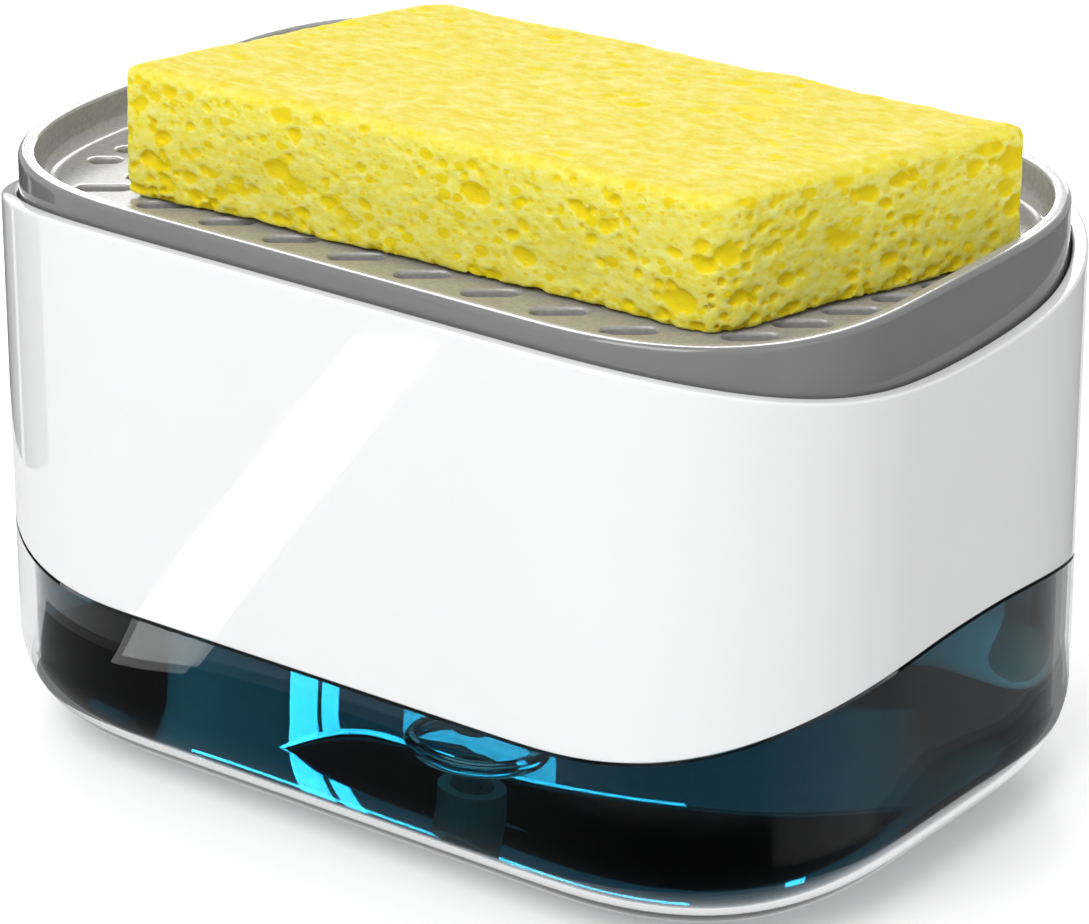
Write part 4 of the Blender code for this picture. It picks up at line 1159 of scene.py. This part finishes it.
def floor_card():
    """A card that lies round the front and right of the object, so that the window mirrors no floor."""
    left, right = outline(FLOOR_CARD_INNER_LEFT), outline(FLOOR_CARD_INNER_RIGHT)
    outer = outline(FLOOR_CARD_OUTER)
    share = np.clip((left[:, :1] - FLOOR_CARD_TURN_START) / FLOOR_CARD_TURN_LENGTH, 0.0, 1.0)
    inner = left * (1 - share) + right * share
    count = len(inner)
    faces = []
    for i, (x, y) in enumerate(inner):
        j = (i + 1) % count
        back = next(limit for edge, limit in FLOOR_CARD_BACK if x < edge)
        if y < back:
            faces.append((i, j, count + j, count + i))
    flat = np.concatenate([inner, outer])
    verts = np.column_stack([flat, np.full(len(flat), FLOOR_CARD_Z)])
    stand_by(new_object("card_floor", verts, faces), glow=FLOOR_CARD_GLOW)


def make_cards():
    floor_card()
    card("card_far", CARD_FAR)
    card("card_near", CARD_NEAR)
    card("card_right", CARD_RIGHT, CARD_RIGHT_FADE)


def make_lamps():
    """Soft lamps, the narrow ones behind, a strip low in front for the light streak, and the panels."""
    area("key", (0.05, -0.88, 1.05), (0, 0, 0.04), 0.9, 11.2)
    area("side", (1.15, -0.15, 0.55), (0, 0, 0.04), 0.7, 0.9)
    area("top", (0.1, 0.25, 1.3), (0, 0, 0.05), 1.0, 2.0)
    for lamp in GLINTS:
        glint(*lamp)
    sheen = area("sheen", (-0.079, -0.136, 0.002), (-0.079, -0.136, 1.0), 0.014, 0.034, size_y=0.13)
    sheen.rotation_euler = (math.pi, 0, -0.38)
    sheen.visible_diffuse = False
    for lamp in PANELS:
        panel = glint(*lamp)
        panel.visible_diffuse = False
        panel.visible_transmission = False


def make_camera():
    data = bpy.data.cameras.new("camera")
    data.lens = VIEW_LENS
    data.sensor_width = SENSOR_WIDTH
    data.clip_start = 0.01
    data.clip_end = 20
    camera = bpy.data.objects.new("camera", data)
    bpy.context.scene.collection.objects.link(camera)
    a, e = VIEW_AZIMUTH, VIEW_ELEVATION
    back = Vector((math.sin(a) * math.cos(e), -math.cos(a) * math.cos(e), math.sin(e)))
    camera.location = VIEW_TARGET + back * VIEW_DISTANCE
    camera.rotation_euler = (-back).to_track_quat("-Z", "Y").to_euler()
    bpy.context.scene.camera = camera


def main():
    make_camera()
    make_world()
    make_floor()
    make_cards()
    make_lamps()

    reservoir = make_reservoir()
    give(reservoir, clear_plastic())
    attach(reservoir, "base")
    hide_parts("reservoir")

    soap = make_soap()
    give(soap, soap_material())
    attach(soap, "base")

    sleeve = make_sleeve()
    give(sleeve, white_plastic())
    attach(sleeve, "housing")
    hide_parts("sleeve")

    tray = make_tray()
    give(tray, grey_plastic())
    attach(tray, "press")
    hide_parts("press_tray")

    spring = make_spring()
    give(spring, steel())
    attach(spring, "housing")
    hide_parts("return_spring")
    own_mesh(spring)

    sponge = make_sponge()
    give(sponge, sponge_material())
    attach(sponge, "loose_sponge")
    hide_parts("sponge")

    dress(["pump_deck"], white_plastic())
    dress(["pump_cylinder", "lock_ring", "stem_guide", "inlet_retainer", "outlet_nozzle", "plunger_stem",
           "piston_rod"], pump_plastic())
    dress(["dip_tube"], tube_plastic())
    dress(["foot_1", "foot_2", "foot_3", "foot_4", "socket_seal"], rubber())
    dress(["neck_gasket", "cylinder_gasket", "piston"], silicone())
    dress(["inlet_ball", "outlet_ball"], ball_glass())

    bpy.context.scene.view_settings.view_transform = "Standard"


main()
